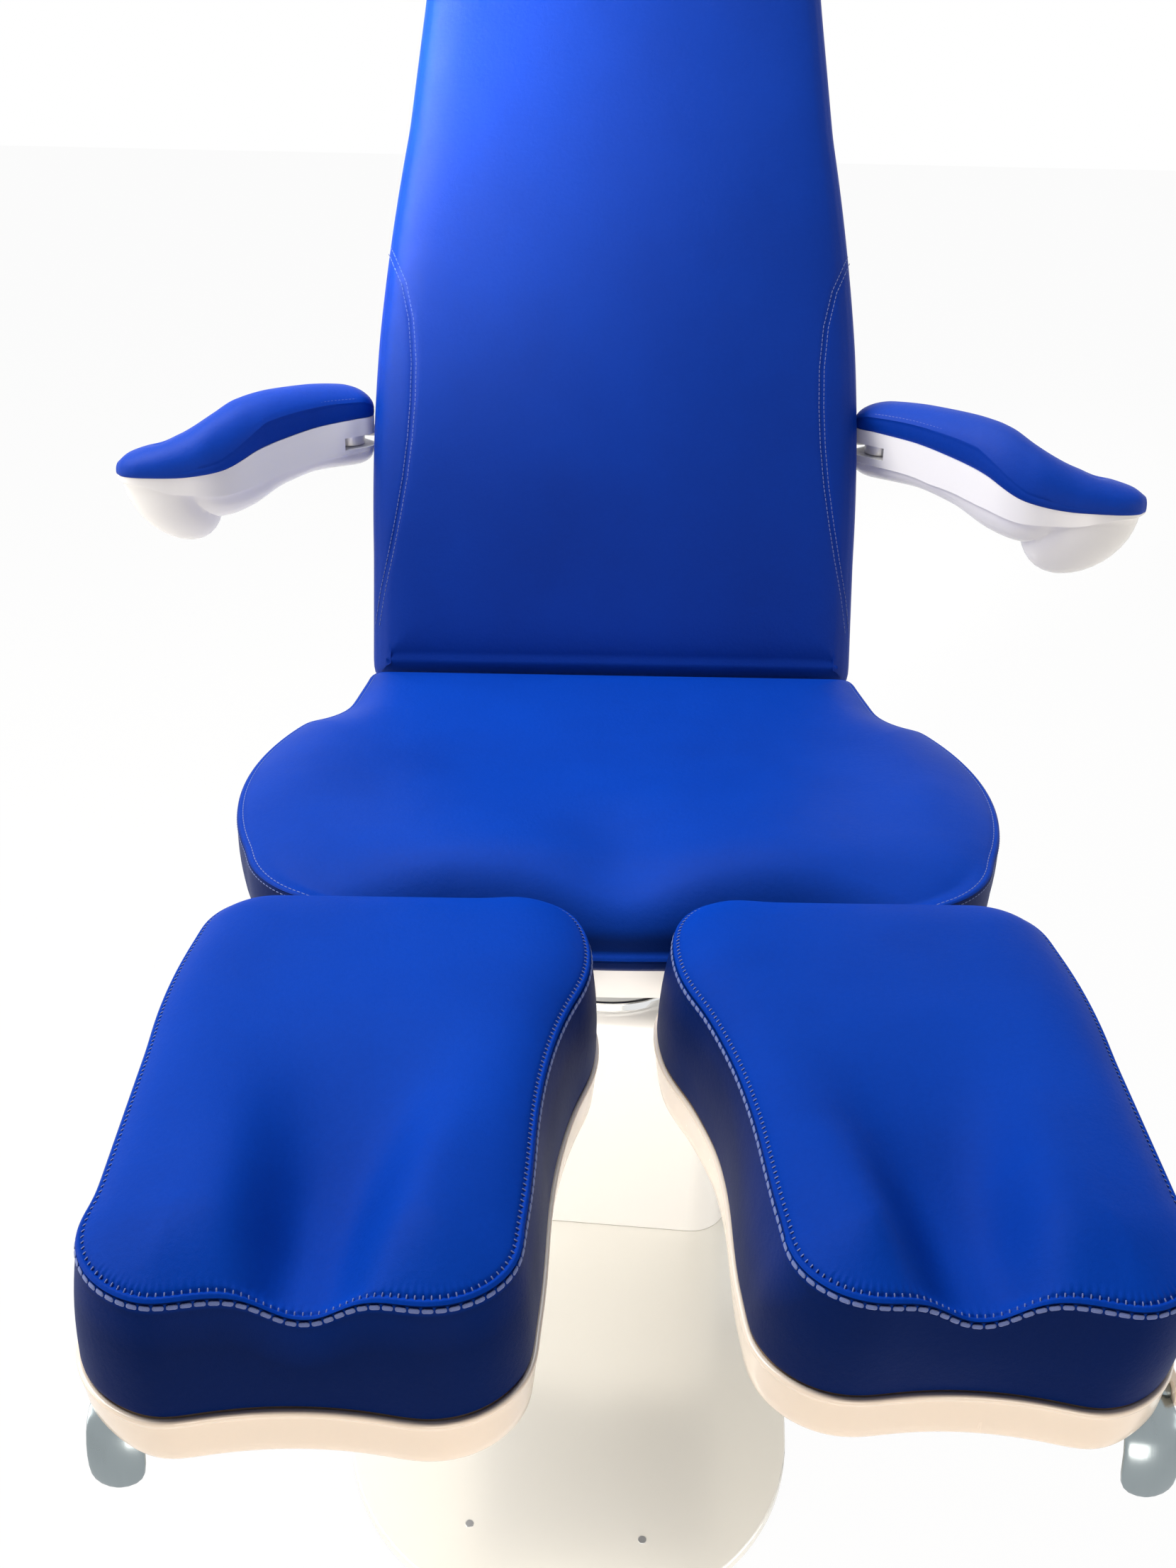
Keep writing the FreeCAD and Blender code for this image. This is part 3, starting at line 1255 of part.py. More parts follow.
def main():
    """Write every sub-part."""
    os.makedirs("parts", exist_ok=True)
    singles = (
        base_plate, floor_pad, plate_screws, power_inlet, column_outer_tube, foot_bolts,
        fixed_cover_sleeve, lift_screw, lift_motor, control_box,
        column_middle_tube, middle_cover_sleeve, lift_middle_screw,
        column_top_tube, top_cover_sleeve, lift_push_tube, swivel_ring, swivel_bearing,
        swivel_plate, swivel_shaft, seat_head, seat_bolts, seat_frame,
        seat_underside_cover, seat_cushion, back_hinge_rod,
        back_actuator_body, back_actuator_rod, back_frame, back_shell, back_cushion,
    )
    for make in singles:
        save(make.__name__, make())
    legs = (
        leg_hinge_bracket, leg_hinge_pin, leg_arm, leg_guide, leg_pivot_bolt,
        leg_runners, leg_shell, leg_board, leg_cushion, leg_lever,
    )
    for make in legs:
        shape = make()
        for name, side in SIDES.items():
            save(make.__name__ + "_" + name, on_side(shape, side))
    for name, side in SIDES.items():
        save("arm_bracket_" + name, arm_bracket_local(side))
        for make in (arm_pad, arm_shell, arm_pin):
            save(make.__name__ + "_" + name, make(name))


main()
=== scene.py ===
"""The looks of a podiatry chair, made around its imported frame.

Lengths are in metres in the frame's own axes: +Z up and -Y towards the leg rests, with the
origin on the floor below the swivel.
"""

import json
import logging
import math
from dataclasses import Field, dataclass, field
from enum import Enum
from functools import partial
from typing import Callable, Iterable, Sequence

import bmesh
import bpy
import numpy as np
from mathutils import Matrix, Vector

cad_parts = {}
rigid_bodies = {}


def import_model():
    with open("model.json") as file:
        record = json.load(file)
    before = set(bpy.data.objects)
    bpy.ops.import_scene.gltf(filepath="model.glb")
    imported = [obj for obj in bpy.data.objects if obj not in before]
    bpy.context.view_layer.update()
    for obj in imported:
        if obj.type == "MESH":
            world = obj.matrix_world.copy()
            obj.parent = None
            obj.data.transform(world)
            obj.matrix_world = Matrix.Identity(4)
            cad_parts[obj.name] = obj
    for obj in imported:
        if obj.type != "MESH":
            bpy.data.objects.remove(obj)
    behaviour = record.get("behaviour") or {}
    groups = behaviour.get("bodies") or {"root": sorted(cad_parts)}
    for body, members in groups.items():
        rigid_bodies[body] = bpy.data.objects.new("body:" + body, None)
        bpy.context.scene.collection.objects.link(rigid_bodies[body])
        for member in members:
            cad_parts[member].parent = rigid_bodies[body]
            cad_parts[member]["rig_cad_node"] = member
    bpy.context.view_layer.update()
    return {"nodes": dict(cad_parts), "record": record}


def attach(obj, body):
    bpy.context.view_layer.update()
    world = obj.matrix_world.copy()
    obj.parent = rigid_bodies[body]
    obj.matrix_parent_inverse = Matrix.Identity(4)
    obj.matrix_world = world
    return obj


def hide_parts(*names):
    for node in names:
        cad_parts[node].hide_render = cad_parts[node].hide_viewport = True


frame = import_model()

LOG = logging.getLogger("podiatry_chair")
MM = 0.001
DENSE_SAMPLES = 2400
Colour = tuple[float, float, float]
Loop = np.ndarray
# Places and the values there, for np.interp
Table = tuple[tuple[float, ...], tuple[float, ...]]
LAID_ALONG_X = partial(
    bpy.ops.transform.rotate, value=math.pi / 2, orient_axis="Y", center_override=(0, 0, 0)
)


class Side(Enum):
    """The chair's two sides, as signs of X."""

    RIGHT = 1
    LEFT = -1

    @property
    def label(self) -> str:
        """The word that ends the side's node names."""
        return self.name.lower()


def sided(right: object, left: object) -> Field:
    """A dataclass field with a value for each side."""
    return field(default_factory=lambda: {Side.RIGHT: right, Side.LEFT: left})


def linear(red: int, green: int, blue: int) -> Colour:
    """Turn a screen colour of 0 to 255 into linear light.

    Args:
        red: Red from 0 to 255.
        green: Green from 0 to 255.
        blue: Blue from 0 to 255.

    Returns:
        The three linear values from 0 to 1.
    """

    def one(value: int) -> float:
        """One channel in linear light."""
        share = value / 255
        return share / 12.92 if share <= 0.04045 else ((share + 0.055) / 1.055) ** 2.4

    return one(red), one(green), one(blue)


def eased(value: np.ndarray, start: float, end: float) -> np.ndarray:
    """Rise smoothly from 0 at start to 1 at end.

    Args:
        value: The numbers to ease.
        start: Where the rise starts.
        end: Where it ends; it may lie below start.

    Returns:
        Numbers from 0 to 1.
    """
    share = np.clip((value - start) / (end - start), 0.0, 1.0)
    return share * share * (3 - 2 * share)


def bell(*shares: np.ndarray) -> np.ndarray:
    """A bell curve's height from 0 to 1, at shares of its width away from its top."""
    return np.exp(-sum(share**2 for share in shares))


# Shader maths


class Number:
    """A shader number that takes part in Python sums."""

    def __init__(self, book: "NodeTree", socket: bpy.types.NodeSocket) -> None:
        """Keep the nodes it is among and the socket that holds it."""
        self.book = book
        self.socket = socket

    def __add__(self, other: "Number | float") -> "Number":
        """Add."""
        return self.book.maths("ADD", self, other)

    __radd__ = __add__

    def __mul__(self, other: "Number | float") -> "Number":
        """Multiply."""
        return self.book.maths("MULTIPLY", self, other)

    def __sub__(self, other: "Number | float") -> "Number":
        """Subtract the other."""
        return self.book.maths("SUBTRACT", self, other)

    def __rsub__(self, other: "Number | float") -> "Number":
        """Subtract from the other."""
        return self.book.maths("SUBTRACT", other, self)

    def __truediv__(self, other: "Number | float") -> "Number":
        """Divide by the other."""
        return self.book.maths("DIVIDE", self, other)

    def clipped(self) -> "Number":
        """Hold the number between 0 and 1.

        Returns:
            The clamped number.
        """
        result = self.book.maths("ADD", self, 0.0)
        result.socket.node.use_clamp = True
        return result


class NodeTree:
    """The nodes of a material or a world, written from nothing."""

    def __init__(self, owner: bpy.types.Material | bpy.types.World) -> None:
        """Empty the owner's tree.

        Args:
            owner: The material or world that gets the nodes.
        """
        owner.use_nodes = True
        self.tree = owner.node_tree
        self.tree.nodes.clear()

    def node(
        self,
        kind: str,
        settings: dict[str, object] | None = None,
        inputs: dict[str | int, object] | None = None,
    ) -> bpy.types.Node:
        """Add a node.

        Args:
            kind: The node's type name.
            settings: Its settings, set before its inputs.
            inputs: Values or sockets for its inputs, by name or by place.

        Returns:
            The new node.
        """
        made = self.tree.nodes.new(kind)
        for key, value in (settings or {}).items():
            setattr(made, key, value)
        for key, value in (inputs or {}).items():
            self.put(made.inputs[key], value)
        return made

    def put(self, target: bpy.types.NodeSocket, value: object) -> None:
        """Give an input a number, a colour, a vector or a link.

        Args:
            target: The input.
            value: What it gets.
        """
        if isinstance(value, Number):
            self.tree.links.new(value.socket, target)
        elif isinstance(value, bpy.types.NodeSocket):
            self.tree.links.new(value, target)
        elif isinstance(value, tuple) and target.type == "RGBA":
            target.default_value = (*value, 1.0)
        else:
            target.default_value = value

    def maths(self, operation: str, first: object, second: object) -> Number:
        """Add a Math node on two values."""
        made = self.node("ShaderNodeMath", {"operation": operation}, {0: first, 1: second})
        return Number(self, made.outputs[0])

    def seen_by(self, *rays: str) -> Number:
        """1 for the named kinds of ray and 0 for the others.

        Args:
            rays: Kinds of ray, as Light Path names them.

        Returns:
            The shader number.
        """
        path = self.node("ShaderNodeLightPath")
        first, *others = (Number(self, path.outputs[f"Is {ray} Ray"]) for ray in rays)
        for other in others:
            first = self.maths("MAXIMUM", first, other)
        return first

    def mixed_out(
        self, kind: str, share: Number, first: bpy.types.Node, second: bpy.types.Node
    ) -> None:
        """Mix two shaders by a share and give them to the output.

        Args:
            kind: The output node's type name.
            share: How much of the second shows.
            first: The first shader.
            second: The second shader.
        """
        inputs = {0: share, 1: first.outputs[0], 2: second.outputs[0]}
        mix = self.node("ShaderNodeMixShader", None, inputs)
        self.node(kind, None, {"Surface": mix.outputs[0]})


class NodeBook(NodeTree):
    """One material with a Principled shader and the nodes that feed it."""

    def __init__(self, name: str) -> None:
        """Start a material that has a Principled shader and its output.

        Args:
            name: The material's name.
        """
        self.material = bpy.data.materials.new(name)
        super().__init__(self.material)
        self.shader = self.node("ShaderNodeBsdfPrincipled")
        self.node("ShaderNodeOutputMaterial", None, {"Surface": self.shader.outputs["BSDF"]})
        spot = self.node("ShaderNodeTexCoord")
        self.place, self.facing = spot.outputs["Object"], spot.outputs["Normal"]

    def noise(
        self, scale: float, detail: float = 2.0, rough: float = 0.5, stretch: Colour = (1, 1, 1)
    ) -> Number:
        """Smooth noise from 0 to 1 over the object's place.

        Args:
            scale: Waves to a metre.
            detail: Octaves.
            rough: Weight of the finer octaves.
            stretch: How many times faster it changes along each axis.

        Returns:
            The noise value.
        """
        spot = self.node("ShaderNodeMapping", None, {"Vector": self.place, "Scale": stretch})
        inputs = {"Scale": scale, "Detail": detail, "Roughness": rough, "Vector": spot.outputs[0]}
        return Number(self, self.node("ShaderNodeTexNoise", None, inputs).outputs[0])

    def cells(self, scale: float) -> Number:
        """Distance to the edge of small random cells."""
        settings, inputs = {"feature": "DISTANCE_TO_EDGE"}, {"Vector": self.place, "Scale": scale}
        return Number(self, self.node("ShaderNodeTexVoronoi", settings, inputs).outputs["Distance"])

    def span(self, value: Number, low: float, high: float) -> Number:
        """Map low to 0 and high to 1, held between them."""
        return ((value - low) / (high - low)).clipped()

    def mixed(self, share: object, first: object, second: object) -> bpy.types.NodeSocket:
        """Mix two colours."""
        made = self.node("ShaderNodeMix", {"data_type": "RGBA"}, {0: share, 6: first, 7: second})
        return made.outputs[2]

    def bump(self, height: Number, depth: float, below: object = None) -> bpy.types.NodeSocket:
        """A Bump node of a real depth in metres, over an earlier one.

        Args:
            height: The relief, from 0 to 1.
            depth: Its depth in metres.
            below: The normal of an earlier Bump node.

        Returns:
            The new normal.
        """
        inputs: dict[str | int, object] = {"Height": height, "Distance": depth, "Strength": 1.0}
        if below is not None:
            inputs["Normal"] = below
        return self.node("ShaderNodeBump", None, inputs).outputs[0]

    def surface(self, **sockets: object) -> None:
        """Set the Principled shader's inputs; underscores stand for spaces."""
        for name, value in sockets.items():
            self.put(self.shader.inputs[name.replace("_", " ")], value)


# Finishes


@dataclass(frozen=True)
class Finish:
    """A surface finish: its name, the record's slot and its colour."""

    name: str
    slot: str
    colour: Colour

    def dress(self, piece: bpy.types.Object) -> None:
        """Give a piece this finish.

        Args:
            piece: A new piece or one of the frame's nodes.
        """
        material = bpy.data.materials.get(self.name) or self.material()
        piece.data.materials.clear()
        piece.data.materials.append(material)

    def material(self) -> bpy.types.Material:
        """Make the finish's material.

        Returns:
            The material.
        """
        book = NodeBook(self.name)
        self.write(book)
        return book.material

    def write(self, book: NodeBook) -> None:
        """Write the finish's nodes; each kind of finish has its own."""
        raise NotImplementedError


@dataclass(frozen=True)
class Vinyl(Finish):
    """Soft upholstery vinyl with a fine pebble grain and painted shade on its upright panels."""

    rough: float = 0.43
    gloss: float = 0.12
    # panel sets how much painted shade darkens faces that turn from upward, below panel_from.
    panel: float = 0.0
    panel_from: float = 0.55
    panel_tone: Colour = linear(2, 17, 54)
    grain_scale: float = 1500.0
    grain_depth: float = 0.06 * MM
    deep: Colour = linear(2, 34, 112)

    def write(self, book: NodeBook) -> None:
        """Pebbled grain, pressed creases, slow random changes of tone, worn sheen and painted
        shade.

        Args:
            book: The nodes of the finish's material.
        """
        pebble = book.span(book.cells(self.grain_scale), 0.0, 0.35)
        swell = book.noise(260.0, 3.0, 0.6)
        broad = book.noise(5.0, 3.0, 0.55)
        shade = book.span(broad, 0.3, 0.75) * 0.35 + book.span(swell, 0.25, 0.8) * 0.12
        colour = book.mixed(shade, self.colour, self.deep)
        # Painted shade in the pebble's valleys: they are mixed towards the deeper blue, and are
        # also rougher.
        valley = (1.0 - pebble) * 0.10
        colour = book.mixed(valley, colour, self.deep)
        # Painted shade: faces that turn from upward are mixed towards a dark blue.
        if self.panel:
            facing = book.node("ShaderNodeSeparateXYZ", None, {0: book.facing}).outputs["Z"]
            upright = book.span(Number(book, facing), self.panel_from, self.panel_from - 0.43)
            colour = book.mixed(upright * self.panel, colour, self.panel_tone)
        height = book.bump(pebble, self.grain_depth)
        height = book.bump(swell, 0.25 * MM, height)
        height = book.bump(book.noise(38.0), 0.35 * MM, height)
        rough = self.rough + (book.noise(11.0, 4.0, 0.6) - 0.5) * 0.16 + valley * 0.5
        book.surface(
            Base_Color=colour, Roughness=rough, Normal=height, Specular_IOR_Level=self.gloss
        )


@dataclass(frozen=True)
class Thread(Finish):
    """Twisted sewing thread."""

    def write(self, book: NodeBook) -> None:
        """Fine twist with small changes of shade.

        Args:
            book: The nodes of the finish's material.
        """
        twist = book.noise(2600.0, 2.0, 0.7)
        colour = book.mixed(book.span(twist, 0.35, 0.7) * 0.5, self.colour, linear(120, 138, 190))
        book.surface(
            Base_Color=colour,
            Roughness=0.62 + twist * 0.15,
            Normal=book.bump(twist, 0.15 * MM),
            Sheen_Weight=0.2,
        )


@dataclass(frozen=True)
class Moulding(Finish):
    """Gloss moulded plastic with a faint orange peel."""

    rough: float = 0.2
    warm: Colour = linear(242, 232, 218)

    def write(self, book: NodeBook) -> None:
        """Soft gloss, mould flow marks, handling scuffs.

        Args:
            book: The nodes of the finish's material.
        """
        flow = book.noise(3.5, 3.0, 0.5)
        dust = book.span(book.noise(42.0, 5.0, 0.65), 0.55, 0.8)
        colour = book.mixed(book.span(flow, 0.3, 0.7) * 0.4, self.colour, self.warm)
        colour = book.mixed(dust * 0.07, colour, linear(190, 182, 170))
        peel = book.bump(book.noise(420.0), 0.03 * MM)
        scuff = book.span(book.noise(150.0, 3.0, 0.7, (1.0, 1.0, 0.15)), 0.62, 0.75)
        book.surface(
            Base_Color=colour,
            Roughness=self.rough + dust * 0.12 + scuff * 0.08,
            Normal=peel,
            Coat_Weight=0.25,
            Coat_Roughness=0.08,
            Subsurface_Weight=0.04,
            Subsurface_Radius=(0.004, 0.003, 0.002),
        )


@dataclass(frozen=True)
class Enamel(Finish):
    """Sprayed or powder-coated metal."""

    rough: float = 0.32
    peel: float = 0.05 * MM
    coat: float = 0.0
    grime: Colour = linear(170, 158, 140)

    def write(self, book: NodeBook) -> None:
        """Orange peel, faint rub marks and dust that settles.

        Args:
            book: The nodes of the finish's material.
        """
        peel = book.noise(520.0)
        settle = book.span(book.noise(9.0, 5.0, 0.6), 0.5, 0.85)
        rub = book.span(book.noise(60.0, 4.0, 0.7, (0.2, 1.0, 1.0)), 0.6, 0.78)
        colour = book.mixed(settle * 0.08, self.colour, self.grime)
        book.surface(
            Base_Color=colour,
            Roughness=self.rough + rub * 0.10 + settle * 0.08,
            Normal=book.bump(peel, self.peel),
            Coat_Weight=self.coat,
            Coat_Roughness=0.06,
        )


@dataclass(frozen=True)
class BareMetal(Finish):
    """Polished, plated or brushed metal."""

    rough: float = 0.08
    brush: float = 0.0
    along: Colour = (1.0, 1.0, 1.0)

    def write(self, book: NodeBook) -> None:
        """Fine scratches, fingerprints and a line grain: brushing on steel, painted reflection
        streaks on the lever.

        Args:
            book: The nodes of the finish's material.
        """
        prints = book.span(book.noise(34.0, 6.0, 0.62), 0.5, 0.75)
        lines = book.noise(240.0, 3.0, 0.7, self.along)
        dark = tuple(0.72 * c for c in self.colour)
        # Fingerprints darken the colour; so do the lines, which on the lever are painted streaks of
        # reflection.
        colour = book.mixed(prints * 0.25 + lines * self.brush * 0.5, self.colour, dark)
        depth = (0.004 + 0.05 * self.brush) * MM
        book.surface(
            Base_Color=colour,
            Metallic=1.0,
            Roughness=self.rough + prints * 0.06 + lines * self.brush * 0.22,
            Normal=book.bump(lines, depth),
        )


@dataclass(frozen=True)
class Grained(Finish):
    """Matt rubber or black plastic with a moulded texture."""

    rough: float = 0.7
    texture: float = 0.12 * MM

    def write(self, book: NodeBook) -> None:
        """Moulded leather-like texture with pale dust in it.

        Args:
            book: The nodes of the finish's material.
        """
        grain = book.noise(900.0, 3.0, 0.6)
        dust = book.span(book.noise(30.0, 5.0, 0.65), 0.5, 0.8)
        colour = book.mixed(dust * 0.18, self.colour, linear(110, 108, 104))
        book.surface(
            Base_Color=colour,
            Roughness=self.rough + grain * 0.12,
            Normal=book.bump(grain, self.texture),
        )


@dataclass(frozen=True)
class Plywood(Finish):
    """Raw birch plywood, its plies seen on the edge."""

    def write(self, book: NodeBook) -> None:
        """Face grain along the board and darker plies through its thickness.

        Args:
            book: The nodes of the finish's material.
        """
        grain = book.noise(60.0, 5.0, 0.6, (1.0, 0.08, 1.0))
        plies = book.noise(420.0, 0.0, 0.0, (0.02, 0.02, 1.0))
        colour = book.mixed(book.span(grain, 0.3, 0.7), self.colour, linear(188, 150, 104))
        colour = book.mixed(book.span(plies, 0.5, 0.56) * 0.5, colour, linear(120, 84, 52))
        book.surface(
            Base_Color=colour, Roughness=0.6 + grain * 0.15, Normal=book.bump(grain, 0.12 * MM)
        )


class Finishes:
    """Every finish on the chair."""

    BLUE = linear(4, 62, 172)
    VINYL = Vinyl("royal_blue_vinyl", "blue_vinyl", BLUE)
    # Painted shade: the back is the same vinyl as the seat, given a darker blue for the light that
    # grazes it.
    BACK = Vinyl("back_blue_vinyl", "blue_vinyl", linear(3, 54, 156))
    # Painted shade on the leg rests' upright gussets.
    PANELLED = Vinyl("panelled_blue_vinyl", "blue_vinyl", BLUE, gloss=0.03, panel=0.84)
    # Painted shade on the seat's front roll and on its faces that turn from upward.
    SEAT = Vinyl("seat_blue_vinyl", "blue_vinyl", BLUE, gloss=0.05, panel=0.8, panel_from=0.9)
    THREAD = Thread("pale_blue_thread", "blue_vinyl", linear(84, 102, 162))
    SHELL = Moulding("white_moulding", "white_moulding", linear(250, 249, 247))
    # Painted light: the peach tint is the warm bounce of a wooden floor; the moulding itself is
    # white.
    TRAY = Moulding("tray_moulding", "white_moulding", linear(251, 234, 215))
    COVER = Enamel("white_cover", "white_cover", linear(246, 248, 250), 0.26, coat=0.3)
    PLATE = Enamel("cream_plate", "cream_plate", linear(246, 244, 234), 0.14, 0.02 * MM, 0.6)
    CHROME = BareMetal("chrome", "chrome", linear(226, 228, 230), 0.05)
    # Painted reflection: the lever's darker colour and its bands stand in for a darker room seen in
    # polished chrome.
    LEVER = BareMetal(
        "polished_lever", "chrome", linear(150, 160, 163), 0.14, 0.9, (0.6, 0.05, 0.05)
    )
    DISC = Enamel("pale_disc", "chrome", linear(206, 208, 208), 0.3, 0.02 * MM, 0.2)
    STEEL = BareMetal("brushed_steel", "steel", linear(190, 192, 196), 0.24, 0.6, (0.05, 1, 1))
    DARK = Enamel("satin_black", "dark_metal", linear(42, 42, 45), 0.38, 0.08 * MM)
    PLASTIC = Grained("black_plastic", "black_plastic", linear(30, 30, 32), 0.5)
    RUBBER = Grained("floor_rubber", "rubber", linear(34, 34, 34), 0.78, 0.2 * MM)
    WOOD = Plywood("plywood", "plywood", linear(214, 182, 138))


# Modelling by hand


class Bench:
    """A modelling bench: it starts primitives, shapes them and finishes them."""

    @staticmethod
    def placed(name: str, data: bpy.types.ID) -> bpy.types.Object:
        """Put data into the scene as an object.

        Args:
            name: The object's name.
            data: Its mesh, lamp or camera.

        Returns:
            The object.
        """
        made = bpy.data.objects.new(name, data)
        bpy.context.scene.collection.objects.link(made)
        return made

    @staticmethod
    def meshed(name: str, points: np.ndarray, faces: list[list[int]]) -> bpy.types.Object:
        """Put points and faces into the scene as a piece.

        Args:
            name: The piece's name.
            points: Its points, (n, 3).
            faces: Its faces, as places in the points.

        Returns:
            The piece.
        """
        mesh = bpy.data.meshes.new(name)
        mesh.from_pydata(points.tolist(), [], faces)
        return Bench.placed(name, mesh)

    @staticmethod
    def clear() -> None:
        """Deselect everything, the frame's own nodes among it."""
        if bpy.context.object and bpy.context.object.mode != "OBJECT":
            bpy.ops.object.mode_set(mode="OBJECT")
        bpy.ops.object.select_all(action="DESELECT")

    @staticmethod
    def hold(piece: bpy.types.Object) -> None:
        """Make one piece the only selected and active one.

        Args:
            piece: The piece.
        """
        Bench.clear()
        piece.select_set(True)
        bpy.context.view_layer.objects.active = piece

    @staticmethod
    def edit(piece: bpy.types.Object, *steps: Callable[[], object]) -> bpy.types.Object:
        """Run operators on all of a piece in edit mode.

        Args:
            piece: The piece.
            steps: What is run on it, in order.

        Returns:
            The piece.
        """
        Bench.hold(piece)
        bpy.ops.object.mode_set(mode="EDIT")
        bpy.ops.mesh.select_all(action="SELECT")
        for step in steps:
            step()
        bpy.ops.object.mode_set(mode="OBJECT")
        return piece

    @staticmethod
    def join(piece: bpy.types.Object, *others: bpy.types.Object) -> None:
        """Join others into a piece.

        Args:
            piece: The piece that stays.
            others: The pieces that go into it.
        """
        Bench.hold(piece)
        for other in others:
            other.select_set(True)
        bpy.ops.object.join()
        Bench.clear()

    @staticmethod
    def towers(name: str, loops: Sequence[Loop]) -> bpy.types.Object:
        """Extrude a filled circle from loop to loop into a closed solid.

        Args:
            name: The piece's name.
            loops: Point loops of one length, each (n, 3), from one end to the other.

        Returns:
            The closed piece, its faces pointing out.
        """
        Bench.clear()
        count = len(loops[0])
        bpy.ops.mesh.primitive_circle_add(vertices=count, radius=1.0, fill_type="NGON")
        piece = bpy.context.object
        piece.name = piece.data.name = name
        piece.data.vertices.foreach_set("co", np.asarray(loops[0], np.float32).ravel())
        bpy.ops.object.mode_set(mode="EDIT")
        for last, loop in zip(loops, loops[1:]):
            bpy.ops.mesh.extrude_region_move()
            mesh = bmesh.from_edit_mesh(piece.data)
            spots = {tuple(map(float, np.float32(spot))): k for k, spot in enumerate(last)}
            for vert in mesh.verts:
                if vert.select:
                    vert.co = Vector(loop[spots[tuple(vert.co)]])
            bmesh.update_edit_mesh(piece.data)
        bpy.ops.object.mode_set(mode="OBJECT")
        return Bench.edit(piece, bpy.ops.mesh.normals_make_consistent)

    @staticmethod
    def finish(piece: bpy.types.Object, angle: float = 35.0) -> bpy.types.Object:
        """Shade a piece smooth up to an angle, in degrees.

        Args:
            piece: The piece.
            angle: Edges sharper than this stay sharp.

        Returns:
            The piece.
        """
        Bench.hold(piece)
        bpy.ops.object.shade_smooth_by_angle(angle=math.radians(angle))
        Bench.clear()
        return piece

    @staticmethod
    def apply(piece: bpy.types.Object, kind: str, **settings: object) -> None:
        """Add a modifier to a piece and apply it.

        Args:
            piece: The piece.
            kind: The modifier's type name.
            settings: Its settings.
        """
        Bench.hold(piece)
        modifier = piece.modifiers.new(kind.lower(), kind)
        for key, value in settings.items():
            setattr(modifier, key, value)
        bpy.ops.object.modifier_apply(modifier=modifier.name)


# Plan lines and padded forms


@dataclass
class PlanLine:
    """A closed line in a plane, sampled the same number of times between four corners."""

    points: Loop
    outward: Loop

    @classmethod
    def traced(
        cls, path: Loop, corners: Sequence[tuple[float, float]], count: int, ease: float
    ) -> "PlanLine":
        """Ease a dense closed path and sample it between corners.

        Args:
            path: Dense points of the closed path, anticlockwise.
            corners: Four places near which the patch's corners fall, in the path's order.
            count: Samples to each of the four sides.
            ease: Length in metres over which curvature is smoothed.

        Returns:
            The sampled line with its outward directions.
        """
        dense = resampled(path, DENSE_SAMPLES)
        step = line_length(dense) / len(dense)
        dense = softened(dense, ease / step)
        starts = [int(np.argmin(np.hypot(*(dense - np.array(c)).T))) for c in corners]
        sides = []
        for index, start in enumerate(starts):
            end = starts[(index + 1) % len(starts)]
            stop = end if end > start else end + len(dense)
            side = dense[np.arange(start, stop + 1) % len(dense)]
            sides.append(resampled_open(side, count)[:-1])
        points = np.vstack(sides)
        ahead = unit(along_row(points))
        return cls(points, np.column_stack([ahead[:, 1], -ahead[:, 0]]))

    def moved(self, outward: np.ndarray | float) -> Loop:
        """The line moved outward by a distance, one for all or one each."""
        return self.points + self.outward * np.reshape(outward, (-1, 1))

    def ring(
        self, outward: float, height: np.ndarray | float, shift: np.ndarray | float = 0.0
    ) -> Loop:
        """The line moved outward, shifted, and lifted to a height."""
        spots = self.moved(outward) + shift
        return np.column_stack([spots, np.broadcast_to(height, len(spots))])

    def depth_of(self, spots: np.ndarray) -> np.ndarray:
        """Distance from each spot to the line.

        Args:
            spots: Plan points, (n, 2).

        Returns:
            Distances in metres, (n,).
        """
        return nearest(spots, self.points)


def nearest(spots: np.ndarray, line: Loop, batch: int = 3000) -> np.ndarray:
    """Distance from each spot to the nearest point of a line.

    Args:
        spots: Points, (n, k).
        line: The line's points, (m, k).
        batch: How many spots are measured at a time.

    Returns:
        Distances in metres, (n,).
    """
    near = np.empty(len(spots))
    for start in range(0, len(spots), batch):
        gap = spots[start : start + batch, None, :] - line[None]
        near[start : start + batch] = np.sqrt((gap**2).sum(2).min(1))
    return near


def run_along(points: Loop) -> np.ndarray:
    """Distance along an open line at each of its points."""
    return np.concatenate([[0.0], np.cumsum(np.linalg.norm(np.diff(points, axis=0), axis=1))])


def unit(rows: np.ndarray) -> np.ndarray:
    """Each row at length 1."""
    return rows / np.linalg.norm(rows, axis=1)[:, None]


def line_length(points: Loop) -> float:
    """Length of a closed line."""
    return float(np.linalg.norm(np.roll(points, -1, 0) - points, axis=1).sum())


def resampled_open(points: Loop, count: int) -> Loop:
    """An open line at count + 1 even points.

    Args:
        points: The line's points.
        count: How many steps it gets.

    Returns:
        The even points.
    """
    along = run_along(points)
    wanted = np.linspace(0, along[-1], count + 1)
    return np.column_stack([np.interp(wanted, along, axis) for axis in points.T])


def resampled(points: Loop, count: int) -> Loop:
    """A closed line at count even points."""
    return resampled_open(np.vstack([points, points[:1]]), count)[:-1]


def softened(points: Loop, spread: float) -> Loop:
    """Smooth a closed line by a bell curve, its spread in samples.

    Args:
        points: The line's points.
        spread: The bell curve's spread, in samples.

    Returns:
        The smoothed points.
    """
    count = len(points)
    wave = np.fft.fftfreq(count)
    damp = np.exp(-2 * (math.pi * wave * spread) ** 2)
    return np.column_stack([np.fft.ifft(np.fft.fft(axis) * damp).real for axis in points.T])


